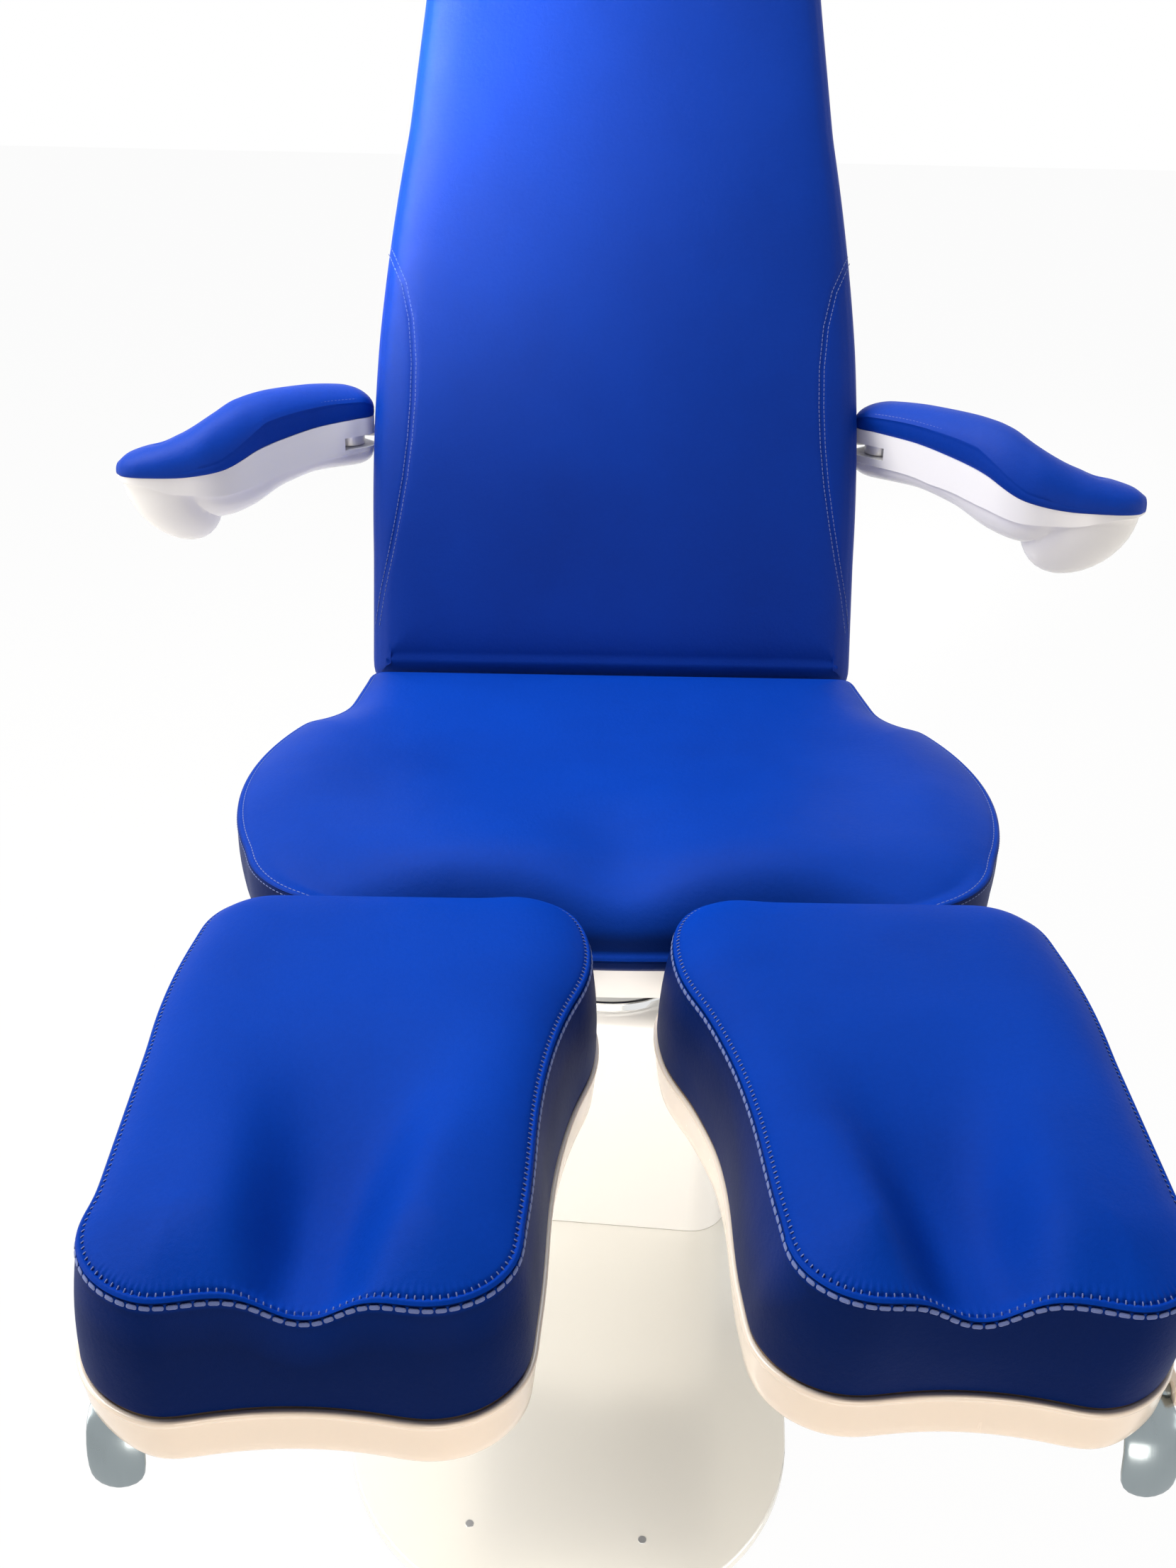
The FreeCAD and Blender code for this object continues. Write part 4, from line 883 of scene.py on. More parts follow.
def three_point_arc(start: Loop, middle: Loop, end: Loop, count: int = 24) -> Loop:
    """Points of the circle arc through three points, without the first.

    Args:
        start: First point.
        middle: A point between.
        end: Last point.
        count: Points made.

    Returns:
        The arc's points, (count, 2).
    """
    ax, ay = middle - start
    bx, by = end - start
    cross = 2 * (ax * by - ay * bx)
    a2, b2 = ax * ax + ay * ay, bx * bx + by * by
    centre = start + np.array([by * a2 - ay * b2, ax * b2 - bx * a2]) / cross
    first = math.atan2(*(start - centre)[::-1])
    radius = float(np.hypot(*(start - centre)))
    turn = math.atan2(*(end - centre)[::-1]) - first
    if cross > 0:
        turn %= 2 * math.pi
    else:
        turn = -((-turn) % (2 * math.pi))
    angles = first + turn * np.arange(1, count + 1) / count
    return centre + radius * np.column_stack([np.cos(angles), np.sin(angles)])


def share_path(segments: Sequence[tuple], place: Callable[[float, float], tuple]) -> Loop:
    """Dense points of a path of lines and three-point arcs.

    Args:
        segments: The start, then lines and arcs, as shares.
        place: Turns a share pair into a plan point.

    Returns:
        The path's points.
    """
    here = np.array(place(*segments[0][1]))
    parts = [here[None, :]]
    for segment in segments[1:]:
        end = np.array(place(*segment[-1]))
        if segment[0] == "arc":
            parts.append(three_point_arc(here, np.array(place(*segment[1])), end))
        else:
            parts.append(resampled_open(np.vstack([here, end]), 24)[1:])
        here = end
    return np.vstack(parts)


def patch_inside(loop: Loop, passes: int = 120) -> np.ndarray:
    """Fill a loop of four equal sides with an even grid.

    Args:
        loop: 4n plan points.
        passes: Rounds of smoothing.

    Returns:
        The grid, (n + 1, n + 1, 2), with the loop as its edge.
    """
    count = len(loop) // 4
    grid = np.zeros((count + 1, count + 1, 2))
    low = loop[: count + 1]
    right = loop[count : 2 * count + 1]
    high = loop[2 * count : 3 * count + 1][::-1]
    left = np.vstack([loop[3 * count :], loop[:1]])[::-1]
    u = np.linspace(0, 1, count + 1)[:, None, None]
    v = np.linspace(0, 1, count + 1)[None, :, None]
    grid += (1 - v) * low[:, None, :] + v * high[:, None, :]
    grid += (1 - u) * left[None, :, :] + u * right[None, :, :]
    grid -= (1 - u) * (1 - v) * low[0] + u * (1 - v) * low[-1]
    grid -= (1 - u) * v * high[0] + u * v * high[-1]
    for _ in range(passes):
        grid[1:-1, 1:-1] = 0.25 * (
            grid[2:, 1:-1] + grid[:-2, 1:-1] + grid[1:-1, 2:] + grid[1:-1, :-2]
        )
    return grid


def closed_mesh(name: str, rings: Sequence[Loop], grid: np.ndarray) -> bpy.types.Object:
    """Join rings and a gridded face into one closed piece.

    Args:
        name: The piece's name.
        rings: Point rings from the hidden face to the grid's edge, each (4n, 3).
        grid: The face's points, (n + 1, n + 1, 3), whose edge is the last ring.

    Returns:
        The piece.
    """
    around = len(rings[0])
    count = around // 4
    inner = grid[1:-1, 1:-1].reshape(-1, 3)
    points = np.vstack([*rings, inner])
    start = around * (len(rings) - 1)
    index = np.zeros((count + 1, count + 1), int)
    index[1:-1, 1:-1] = np.arange(len(inner)).reshape(count - 1, count - 1) + around * len(rings)
    steps = np.arange(count + 1)
    index[:, 0] = start + steps
    index[-1, :] = start + count + steps
    index[:, -1] = (start + 2 * count + steps)[::-1]
    index[0, :] = start + (3 * count + steps)[::-1] % around
    faces = []
    near = np.arange(around)
    far = np.roll(near, -1)
    for ring in range(len(rings) - 1):
        a, b = ring * around, (ring + 1) * around
        faces.append(np.column_stack([a + near, a + far, b + far, b + near]))
    cells = [index[:-1, :-1], index[1:, :-1], index[1:, 1:], index[:-1, 1:]]
    faces.append(np.column_stack([c.ravel() for c in cells]))
    polygons = [list(range(around))[::-1], *np.vstack(faces).tolist()]
    return Bench.meshed(name, points, polygons)


@dataclass(frozen=True)
class StitchRow:
    """A row of stitches of one size along a path."""

    length: float
    width: float
    height: float
    pitch: float

    def prototype(self) -> tuple[np.ndarray, list[list[int]]]:
        """Model one rounded stitch lying along X.

        Returns:
            Its points and its faces.
        """
        Bench.clear()
        bpy.ops.mesh.primitive_uv_sphere_add(segments=6, ring_count=5, radius=0.5)
        stitch = Bench.edit(bpy.context.object, LAID_ALONG_X)
        points = np.array([v.co[:] for v in stitch.data.vertices])
        squared = np.sign(points) * np.abs(2 * points) ** np.array([0.4, 0.7, 1.0]) / 2
        faces = [list(f.vertices) for f in stitch.data.polygons]
        mesh = stitch.data
        bpy.data.objects.remove(stitch)
        bpy.data.meshes.remove(mesh)
        return squared * np.array([self.length, self.width, self.height]), faces

    def places(self, path: np.ndarray, closed: bool = True) -> np.ndarray:
        """Even places along a path, at about the row's pitch.

        Args:
            path: The path's points.
            closed: Whether it runs back to its start.

        Returns:
            The stitches' centres.
        """
        total = line_length(path) if closed else run_along(path)[-1]
        count = max(2, round(total / self.pitch))
        return resampled(path, count) if closed else resampled_open(path, count)


def sewn(
    name: str, rows: Iterable[tuple[StitchRow, np.ndarray, np.ndarray, np.ndarray]]
) -> bpy.types.Object:
    """Copy stitches onto their places as one piece.

    Args:
        name: The piece's name.
        rows: Each row with its centres, directions and surface normals, (n, 3) each.

    Returns:
        The piece.
    """
    all_points: list[np.ndarray] = []
    all_faces: list[list[int]] = []
    base = 0
    for row, centres, along, normals in rows:
        points, faces = row.prototype()
        along = unit(along)
        across = unit(np.cross(normals, along))
        up = np.cross(along, across)
        for centre, x, y, z in zip(centres, along, across, up):
            all_points.append(centre + points @ np.array([x, y, z]))
            all_faces.extend([[base + i for i in face] for face in faces])
            base += len(points)
    piece = Bench.meshed(name, np.vstack(all_points), all_faces)
    for polygon in piece.data.polygons:
        polygon.use_smooth = True
    return piece


def along_row(spots: np.ndarray) -> np.ndarray:
    """Directions along a closed row of spots."""
    return np.roll(spots, -1, 0) - np.roll(spots, 1, 0)


def aside_of(along: np.ndarray, rise: float) -> np.ndarray:
    """Level unit directions to the right of a row, then lifted by a rise.

    Args:
        along: Directions along the row, (n, 3).
        rise: How far they are lifted.

    Returns:
        The directions, (n, 3).
    """
    aside = unit(np.column_stack([along[:, 1], -along[:, 0], np.zeros(len(along))]))
    aside[:, 2] = rise
    return aside


def told(piece: bpy.types.Object, body: str, finish: Finish, *nodes: str) -> None:
    """Dress a piece, let it ride and report it.

    Args:
        piece: The finished piece.
        body: The body it rides on.
        finish: Its finish.
        nodes: The frame's nodes it stands for.
    """
    finish.dress(piece)
    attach(piece, body)
    if nodes:
        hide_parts(*nodes)
    LOG.info("%s rides on %s, %d faces", piece.name, body, len(piece.data.polygons))


@dataclass
class Cushion:
    """What all padded pieces share: crown, roll and the samples round them."""

    samples: int = 150
    crown: float = 15 * MM
    run: float = 110 * MM
    firmness: float = 4.2
    ring_depths: tuple[float, ...] = (0.0, 1.2, 2.6, 4.2, 6.0, 8.2, 11.0, 14.5)

    def rise(self, depth: np.ndarray) -> np.ndarray:
        """Crown height at a distance in from the seam."""
        share = np.clip(depth / self.run, 0, 1)
        return self.crown * (1 - (1 - share) ** self.firmness)

    def top(self, plan: np.ndarray, depth: np.ndarray) -> np.ndarray:
        """Height of the cushion's top; each cushion has its own."""
        raise NotImplementedError

    def surface(self, spots: np.ndarray, depth: np.ndarray, seam_z: np.ndarray) -> np.ndarray:
        """Height of the top, its rim brought onto a seam that dips.

        Args:
            spots: Plan points beside the seam.
            depth: Their distance in from the seam.
            seam_z: The seam's height beside each.

        Returns:
            Heights, the seam's own at the seam.
        """
        own = self.top(spots, np.zeros(len(spots)))
        return self.top(spots, depth) + (seam_z - own) * eased(depth, 12 * MM, 0.0)

    def rim(
        self, plan: PlanLine, seam_z: np.ndarray, relief: Callable[[np.ndarray], np.ndarray]
    ) -> list[Loop]:
        """Rings of the top's rim, from the seam inwards, with a sewn relief added.

        Args:
            plan: The seam's plan line.
            seam_z: The seam's height at its points.
            relief: Gives the height that the sewing adds at a depth in from the seam.

        Returns:
            The rings, each (n, 3).
        """
        rings = []
        for inset in self.ring_depths:
            spots = plan.moved(-inset * MM)
            depth = np.full(len(spots), inset * MM)
            height = self.surface(spots, depth, seam_z) + relief(depth)
            rings.append(np.column_stack([spots, height]))
        return rings

    def face(self, plan: PlanLine, ring: Loop) -> np.ndarray:
        """The grid of the top inside its last ring.

        Args:
            plan: The seam's plan line.
            ring: The last ring's points.

        Returns:
            The grid, (n + 1, n + 1, 3).
        """
        inner = patch_inside(ring[:, :2])
        flat = inner.reshape(-1, 2)
        grid = np.column_stack([flat, self.top(flat, plan.depth_of(flat))])
        grid = grid.reshape(*inner.shape[:2], 3)
        self.join_edge(grid, ring)
        return grid

    @staticmethod
    def covered(piece: bpy.types.Object, body: str, finish: Finish, node: str, fill: float) -> None:
        """Args:
            piece: The piece.
            body: The body it rides on.
            finish: Its finish.
            node: The frame's node it stands for.
            fill: How full it is; not used.
        """
        Bench.finish(Bench.edit(piece, bpy.ops.mesh.normals_make_consistent), 60)
        told(piece, body, finish, node)

    @staticmethod
    def join_edge(grid: np.ndarray, ring: Loop) -> None:
        """Set the grid's outer rows to the last ring's heights.

        Args:
            grid: The grid, changed in place.
            ring: The last ring's points.
        """
        count = grid.shape[0] - 1
        steps = np.arange(count + 1)
        grid[:, 0, 2] = ring[steps, 2]
        grid[-1, :, 2] = ring[count + steps, 2]
        grid[:, -1, 2] = ring[(2 * count + steps)[::-1], 2]
        grid[0, :, 2] = ring[(3 * count + steps)[::-1] % len(ring), 2]


@dataclass
class LegCushion(Cushion):
    """A leg rest cushion with a calf channel, a lapped seam and two rows of stitches."""

    samples: int = 200
    crown: float = 18 * MM
    run: float = 70 * MM
    inner: float = 27 * MM
    width: float = 301 * MM
    rear: float = -347 * MM
    length: float = 424 * MM
    base: float = 484 * MM
    seam: float = 565 * MM
    flare: float = 7 * MM
    belly: float = 2.2 * MM
    seam_dip: float = 19 * MM
    gain: dict[Side, float] = sided(0.0, 17 * MM)
    narrowing: dict[Side, float] = sided(1.0, 0.0)
    lean: dict[Side, tuple[float, float, float, float]] = sided(
        (-1.5 * MM, -9 * MM, 2 * MM, 15 * MM), (2 * MM, 0.0, 0.0, 0.0)
    )
    waist_mm: Table = ((0.0, 0.1, 0.2, 0.35, 0.5, 0.65, 0.8), (2.5, 4, 7, 9, 7, 3.3, 0))
    corner_cut: float = 9 * MM
    lobe: float = 5 * MM
    knee: float = 3 * MM
    channel: Table = ((0.44, 0.66, 0.86, 1.03), (0.50, 0.515, 0.53, 0.542))
    channel_half_mm: Table = ((0.3, 0.5, 0.75, 1.0), (88, 66, 42, 31))
    # Height above the base and tuck, in mm
    foot_rings: tuple[tuple[float, float], ...] = ((0.0, 4.0), (1.0, 1.6), (3.0, 0.3), (6.0, 0.0))
    wall_shares: tuple[float, ...] = (0.16, 0.26, 0.37, 0.48, 0.59, 0.70, 0.80, 0.88, 0.94)
    # How far outside the seam and below it, in mm
    lap_rings: tuple[tuple[float, float], ...] = ((0.3, 3.0), (-0.4, 2.2), (-0.8, 1.5), (-0.4, 0.6))
    ring_depths: tuple[float, ...] = (
        0.0, 0.6, 1.2, 1.8, 2.5, 3.2, 3.9, 4.6, 5.4, 6.4, 7.8, 9.6, 12.0, 15.0,
    )
    outline: tuple[tuple, ...] = (
        ("start", (0.259, 0.0)),
        ("line", (0.781, 0.0)),
        ("arc", (0.927, 0.035), (0.980, 0.130)),
        ("arc", (1.0, 0.290), (0.993, 0.455)),
        ("line", (0.977, 0.809)),
        ("arc", (0.950, 0.939), (0.814, 1.0)),
        ("arc", (0.575, 0.976), (0.375, 0.995)),
        ("arc", (0.236, 0.967), (0.183, 0.868)),
        ("line", (0.153, 0.656)),
        ("arc", (0.106, 0.474), (0.037, 0.314)),
        ("arc", (0.0, 0.196), (0.023, 0.083)),
        ("arc", (0.096, 0.014), (0.259, 0.0)),
    )
    dashes: StitchRow = StitchRow(6.4 * MM, 3.0 * MM, 0.9 * MM, 7.4 * MM)
    ticks: StitchRow = StitchRow(3.6 * MM, 0.9 * MM, 0.9 * MM, 4.6 * MM)

    def place(self, across: float, along: float) -> tuple[float, float]:
        """A share pair as a plan point of the right cushion."""
        return self.inner + self.width * across, self.rear - self.length * along

    def across(self, x: np.ndarray) -> np.ndarray:
        """Share of the way from the inner side to the outer one."""
        return (x - self.inner) / self.width

    def along(self, y: np.ndarray) -> np.ndarray:
        """Share of the way from the rear to the foot."""
        return (self.rear - y) / self.length

    def plan(self, side: Side) -> PlanLine:
        """The seam's plan line before it is mirrored, anticlockwise seen from above.

        Args:
            side: The chair's side.

        Returns:
            The plan line.
        """
        path = share_path(self.outline, self.place)[::-1]
        share, along = self.across(path[:, 0]), self.along(path[:, 1])
        path[:, 0] -= self.gain[side] * eased(along, 0.3, 0.85) * (1 - share)
        own = self.narrowing[side]
        waist = np.interp(along, *self.waist_mm) * MM
        path[:, 0] += own * waist * (1 - share)
        path[:, 1] += own * self.corner_cut * eased(along, 0.5, 1.0) * (1 - share)
        low, high = self.inner, self.inner + self.width
        front = self.rear - self.length
        corners = [(low, self.rear), (low + 50 * MM, front), (high, front), (high, self.rear)]
        return PlanLine.traced(path, corners, self.samples, 9 * MM)

    def leaning(self, spots: Loop, side: Side) -> Loop:
        """How far the base stands aside of the seam and behind it, from the rear to the foot.

        Args:
            spots: Points on the seam.
            side: The chair's side.

        Returns:
            Plan offsets, (n, 2).
        """
        rear, foot, back, foot_back = self.lean[side]
        share, along = self.across(spots[:, 0]), self.along(spots[:, 1])
        aside = rear * eased(along, 0.48, 0.15) + foot * eased(along, 0.45, 0.85)
        behind = (foot_back - back) * eased(along, 0.15, 0.8) * (1.1 - 0.5 * share)
        return np.column_stack([aside, back + behind])

    def channel_line(self, y: np.ndarray) -> np.ndarray:
        """The calf channel's centre line across the cushion, at a place along it."""
        share = np.interp(self.along(y), *self.channel)
        return self.inner + self.width * share

    def hollow(self, x: np.ndarray, y: np.ndarray) -> np.ndarray:
        """The channel's cross shape: 1 on its floor, 0 beside it.

        Args:
            x: Places across, before the cushion is mirrored.
            y: Places along.

        Returns:
            Shares from 0 to 1.
        """
        half = np.interp(self.along(y), *self.channel_half_mm) * MM
        offset = (x - self.channel_line(y)) / half
        return np.exp(-np.abs(offset) ** 3.0)

    def seam_height(self, plan: np.ndarray) -> np.ndarray:
        """Height of the seam at plan points; it dips where the channel leaves.

        Args:
            plan: Plan points, (n, 2).

        Returns:
            Heights, (n,).
        """
        x, y = plan.T
        front = eased(self.along(y), 0.72, 0.93)
        offset = (x - self.channel_line(y)) / (27 * MM)
        return self.seam - self.seam_dip * np.exp(-np.abs(offset) ** 2.2) * front

    def top(self, plan: np.ndarray, depth: np.ndarray) -> np.ndarray:
        """Height of the cushion's top at plan points a depth in from the seam.

        Args:
            plan: Plan points, (n, 2).
            depth: Their distance to the seam, (n,).

        Returns:
            Heights, (n,).
        """
        x, y = plan.T
        along, hollow = self.along(y), self.hollow(x, y)
        front = eased(along, 0.74, 0.95)
        share = np.clip(depth / self.run, 0, 1)
        rise = self.crown * (1 - (1 - share) ** (self.firmness - 1.7 * front))
        drop = eased(along, 0.36, 0.88) * hollow * (rise + self.seam_dip)
        side = (x - self.channel_line(y)) / (62 * MM)
        lobes = np.exp(-((np.abs(side) - 1) ** 2) * 3.2) * eased(along, 0.45, 0.85)
        lobes *= eased(depth, 4 * MM, 60 * MM)
        knee = self.knee * bell((along - 0.22) / 0.2) * eased(depth, 0, 60 * MM)
        return self.seam + rise - drop + self.lobe * lobes + knee

    def relief(self, depth: np.ndarray, run: np.ndarray, front: np.ndarray) -> np.ndarray:
        """The lapped seam's ridge, its sewn groove and the small gathers beside it.

        Args:
            depth: Distance in from the seam.
            run: Distance along the seam.
            front: 1 at the foot end, where the gathers are strong.

        Returns:
            Heights to add.
        """
        ridge = 1.1 * MM * bell((depth - 1.5 * MM) / (1.2 * MM))
        groove = -1.3 * MM * bell((depth - 4.2 * MM) / (1.0 * MM))
        fade = bell((depth - 5.5 * MM) / (2.8 * MM))
        wave = np.cos(2 * math.pi * run / self.ticks.pitch)
        gather = 0.5 * MM * wave * fade * (0.35 + 0.65 * front)
        return ridge + groove + gather

    def build(self, side: Side) -> None:
        """Model one cushion with its stitching and put it in place.

        Args:
            side: The chair's side.
        """
        plan = self.plan(side)
        seam_z = self.seam_height(plan.points)
        length = line_length(plan.points)
        gathers = round(length / self.ticks.pitch)
        run = run_along(plan.points) / length * gathers * self.ticks.pitch
        front = eased(self.along(plan.points[:, 1]), 0.55, 0.85)
        lean = self.leaning(plan.points, side)
        rings = []
        for rise, tuck in self.foot_rings:
            shift = lean * (1 - rise * MM / (self.seam - self.base))
            rings.append(plan.ring(self.flare - tuck * MM, self.base + rise * MM, shift))
        for share in self.wall_shares:
            outward = self.flare * (1 - share) + self.belly * math.sin(math.pi * share)
            height = self.base + (seam_z - 2.6 * MM - self.base) * share
            rings.append(plan.ring(outward, height, lean * (1 - share)))
        for outward, drop in self.lap_rings:
            rings.append(plan.ring(outward * MM, seam_z - drop * MM))
        rings += self.rim(plan, seam_z, lambda depth: self.relief(depth, run, front))
        grid = self.face(plan, rings[-1])
        for ring in rings:
            ring[:, 0] *= side.value
        grid[:, :, 0] *= side.value
        piece = closed_mesh(f"leg_pad_{side.label}", rings, grid)
        body, node = f"leg_rest_{side.label}", f"leg_cushion_{side.label}"
        self.covered(piece, body, Finishes.PANELLED, node, fill=0.95)
        self.sew(side, plan)

    def sew(self, side: Side, plan: PlanLine) -> None:
        """Lay the broad dashes below the seam and the small ticks above it.

        Args:
            side: The chair's side.
            plan: The seam's plan line.
        """
        rows = []
        seam_z = self.seam_height(plan.points)
        spots = self.dashes.places(plan.ring(0.5 * MM, seam_z - 3.0 * MM))
        along = along_row(spots)
        rows.append((self.dashes, spots, along, aside_of(along, 0.35)))
        inset = plan.moved(-3.8 * MM)
        depth = np.full(len(inset), 3.8 * MM)
        height = self.surface(inset, depth, seam_z)
        ticks = self.ticks.places(np.column_stack([inset, height - 0.5 * MM]))
        ahead = along_row(ticks)
        inward = -aside_of(ahead, -0.8)
        up = np.cross(ahead, inward)
        up *= np.sign(up[:, 2])[:, None]
        rows.append((self.ticks, ticks, inward, up))
        if side is Side.LEFT:
            mirror = np.array([-1.0, 1.0, 1.0])
            rows = [(row, a * mirror, b * mirror, c * mirror) for row, a, b, c in rows]
        piece = sewn(f"leg_stitching_{side.label}", rows)
        told(piece, f"leg_rest_{side.label}", Finishes.THREAD)


@dataclass
class SeatCushion(Cushion):
    """The seat: a narrow rear, two wings and a front roll with a dip between the thighs."""

    half: float = 342 * MM
    rear: float = 152 * MM
    length: float = 479 * MM
    base: float = 484 * MM
    seam: float = 545 * MM
    front_drop: float = 48 * MM
    front_run: float = 100 * MM
    plain_half: float = 120 * MM
    # How far outside the seam and above the base, in mm
    foot_rings: tuple[tuple[float, float], ...] = ((-9, 0.0), (-5, 0.6), (-3.4, 2.4))
    wall_shares: tuple[float, ...] = (0.1, 0.22, 0.34, 0.46, 0.58, 0.70, 0.80, 0.88, 0.94)
    # How far outside the seam and below it, in mm
    lap_rings: tuple[tuple[float, float], ...] = ((0.3, 2.2), (-0.6, 1.1))
    # How far inside the seam, below the surface in mm, and the stitches' tilt
    rows: tuple[tuple[float, float, float], ...] = ((-0.4, 3.2, 0.4), (5.2, 0.35, 1.6))
    outline: tuple[tuple, ...] = (
        ("start", (0.0, 0.0)),
        ("line", (0.716, 0.0)),
        ("arc", (0.746, 0.008), (0.754, 0.034)),
        ("line", (0.781, 0.176)),
        ("arc", (0.819, 0.235), (0.895, 0.270)),
        ("arc", (1.0, 0.503), (0.930, 0.818)),
        ("arc", (0.833, 0.937), (0.658, 0.990)),
        ("line", (0.0, 1.0)),
    )
    row: StitchRow = StitchRow(3.4 * MM, 0.9 * MM, 0.7 * MM, 4.6 * MM)

    def plan(self) -> PlanLine:
        """The seam's plan line, anticlockwise seen from above.

        Returns:
            The plan line.
        """
        right = share_path(
            self.outline, lambda x, y: (self.half * x, self.rear - self.length * y)
        )[::-1]
        left = right[::-1] * np.array([-1.0, 1.0])
        front = self.rear - self.length
        corners = [
            (-0.72 * self.half, self.rear),
            (-0.70 * self.half, front),
            (0.70 * self.half, front),
            (0.72 * self.half, self.rear),
        ]
        return PlanLine.traced(np.vstack([right, left[1:-1]]), corners, self.samples, 7 * MM)

    def seam_height(self, plan: np.ndarray) -> np.ndarray:
        """Height of the seam; between the wings' fronts it runs down to the base."""
        x, y = plan.T
        return self.seam - self.front_drop * self.between_wings(x) * eased(y, -0.22, -0.30)

    @staticmethod
    def between_wings(x: np.ndarray) -> np.ndarray:
        """1 between the wings' fronts and 0 at the wings."""
        return eased(np.abs(x), 0.268, 0.13)

    def top(self, plan: np.ndarray, depth: np.ndarray) -> np.ndarray:
        """Height of the seat at plan points a depth in from the seam.

        Args:
            plan: Plan points, (n, 2).
            depth: Their distance in from the seam, (n,).

        Returns:
            Heights, (n,).
        """
        x, y = plan.T
        front = self.rear - self.length
        inside = eased(depth, 0, 70 * MM)
        ahead = np.clip((y - front) / self.front_run, 0, 1)
        fall = self.front_drop * self.between_wings(x) * (1 - ahead) ** 2.5
        roll = 10 * MM * eased(np.abs(x), 0.15, 0.26) * eased(y, front + 0.11, front)
        dish = -8 * MM * bell(x / 0.15, (y + 0.05) / 0.15)
        thighs = 6 * MM * bell((np.abs(x) - 0.135) / 0.07)
        thighs *= eased(y, -0.06, -0.22)
        middle = -13 * MM * bell(x / 0.046) * eased(y, -0.13, -0.27)
        wing = 5 * MM * eased(np.abs(x), 0.20, 0.29) * eased(y, -0.24, -0.12)
        shape = (dish + thighs + middle + wing) * inside
        return self.seam + self.rise(depth) + shape - fall - roll * eased(depth, 0, 18 * MM)

    @staticmethod
    def lap(depth: np.ndarray) -> np.ndarray:
        """The lapped seam's ridge and its sewn groove."""
        ridge = 0.9 * MM * bell((depth - 2.2 * MM) / (1.5 * MM))
        return ridge - 0.7 * MM * bell((depth - 5.2 * MM) / (1.2 * MM))

    def build(self) -> None:
        """Model the cushion with its seam and its stitching."""
        plan = self.plan()
        seam_z = self.seam_height(plan.points)
        rings = []
        for outward, rise in self.foot_rings:
            rings.append(plan.ring(outward * MM, self.base + rise * MM))
        floor = self.base + 2.6 * MM
        for share in self.wall_shares:
            outward = -3 * (1 - share) ** 1.3 + 1.5 * math.sin(math.pi * share)
            rings.append(plan.ring(outward * MM, floor + (seam_z - 2.4 * MM - floor) * share))
        for outward, drop in self.lap_rings:
            rings.append(plan.ring(outward * MM, seam_z - drop * MM))
        rings += self.rim(plan, seam_z, self.lap)
        piece = closed_mesh("seat_pad", rings, self.face(plan, rings[-1]))
        self.covered(piece, "seat", Finishes.SEAT, "seat_cushion", fill=0.9)
        rows = []
        for inset, drop, tilt in self.rows:
            line = plan.moved(-inset * MM)
            depth = np.full(len(line), max(inset, 0.0) * MM)
            height = self.surface(line, depth, seam_z) - drop * MM
            spots = self.row.places(np.column_stack([line, height]))
            along = along_row(spots)
            outward = aside_of(along, tilt)
            sewn_here = (np.abs(spots[:, 0]) > self.plain_half) | (spots[:, 1] > 0)
            rows.append((self.row, spots[sewn_here], along[sewn_here], outward[sewn_here]))
        told(sewn("seat_stitching", rows), "seat", Finishes.THREAD)


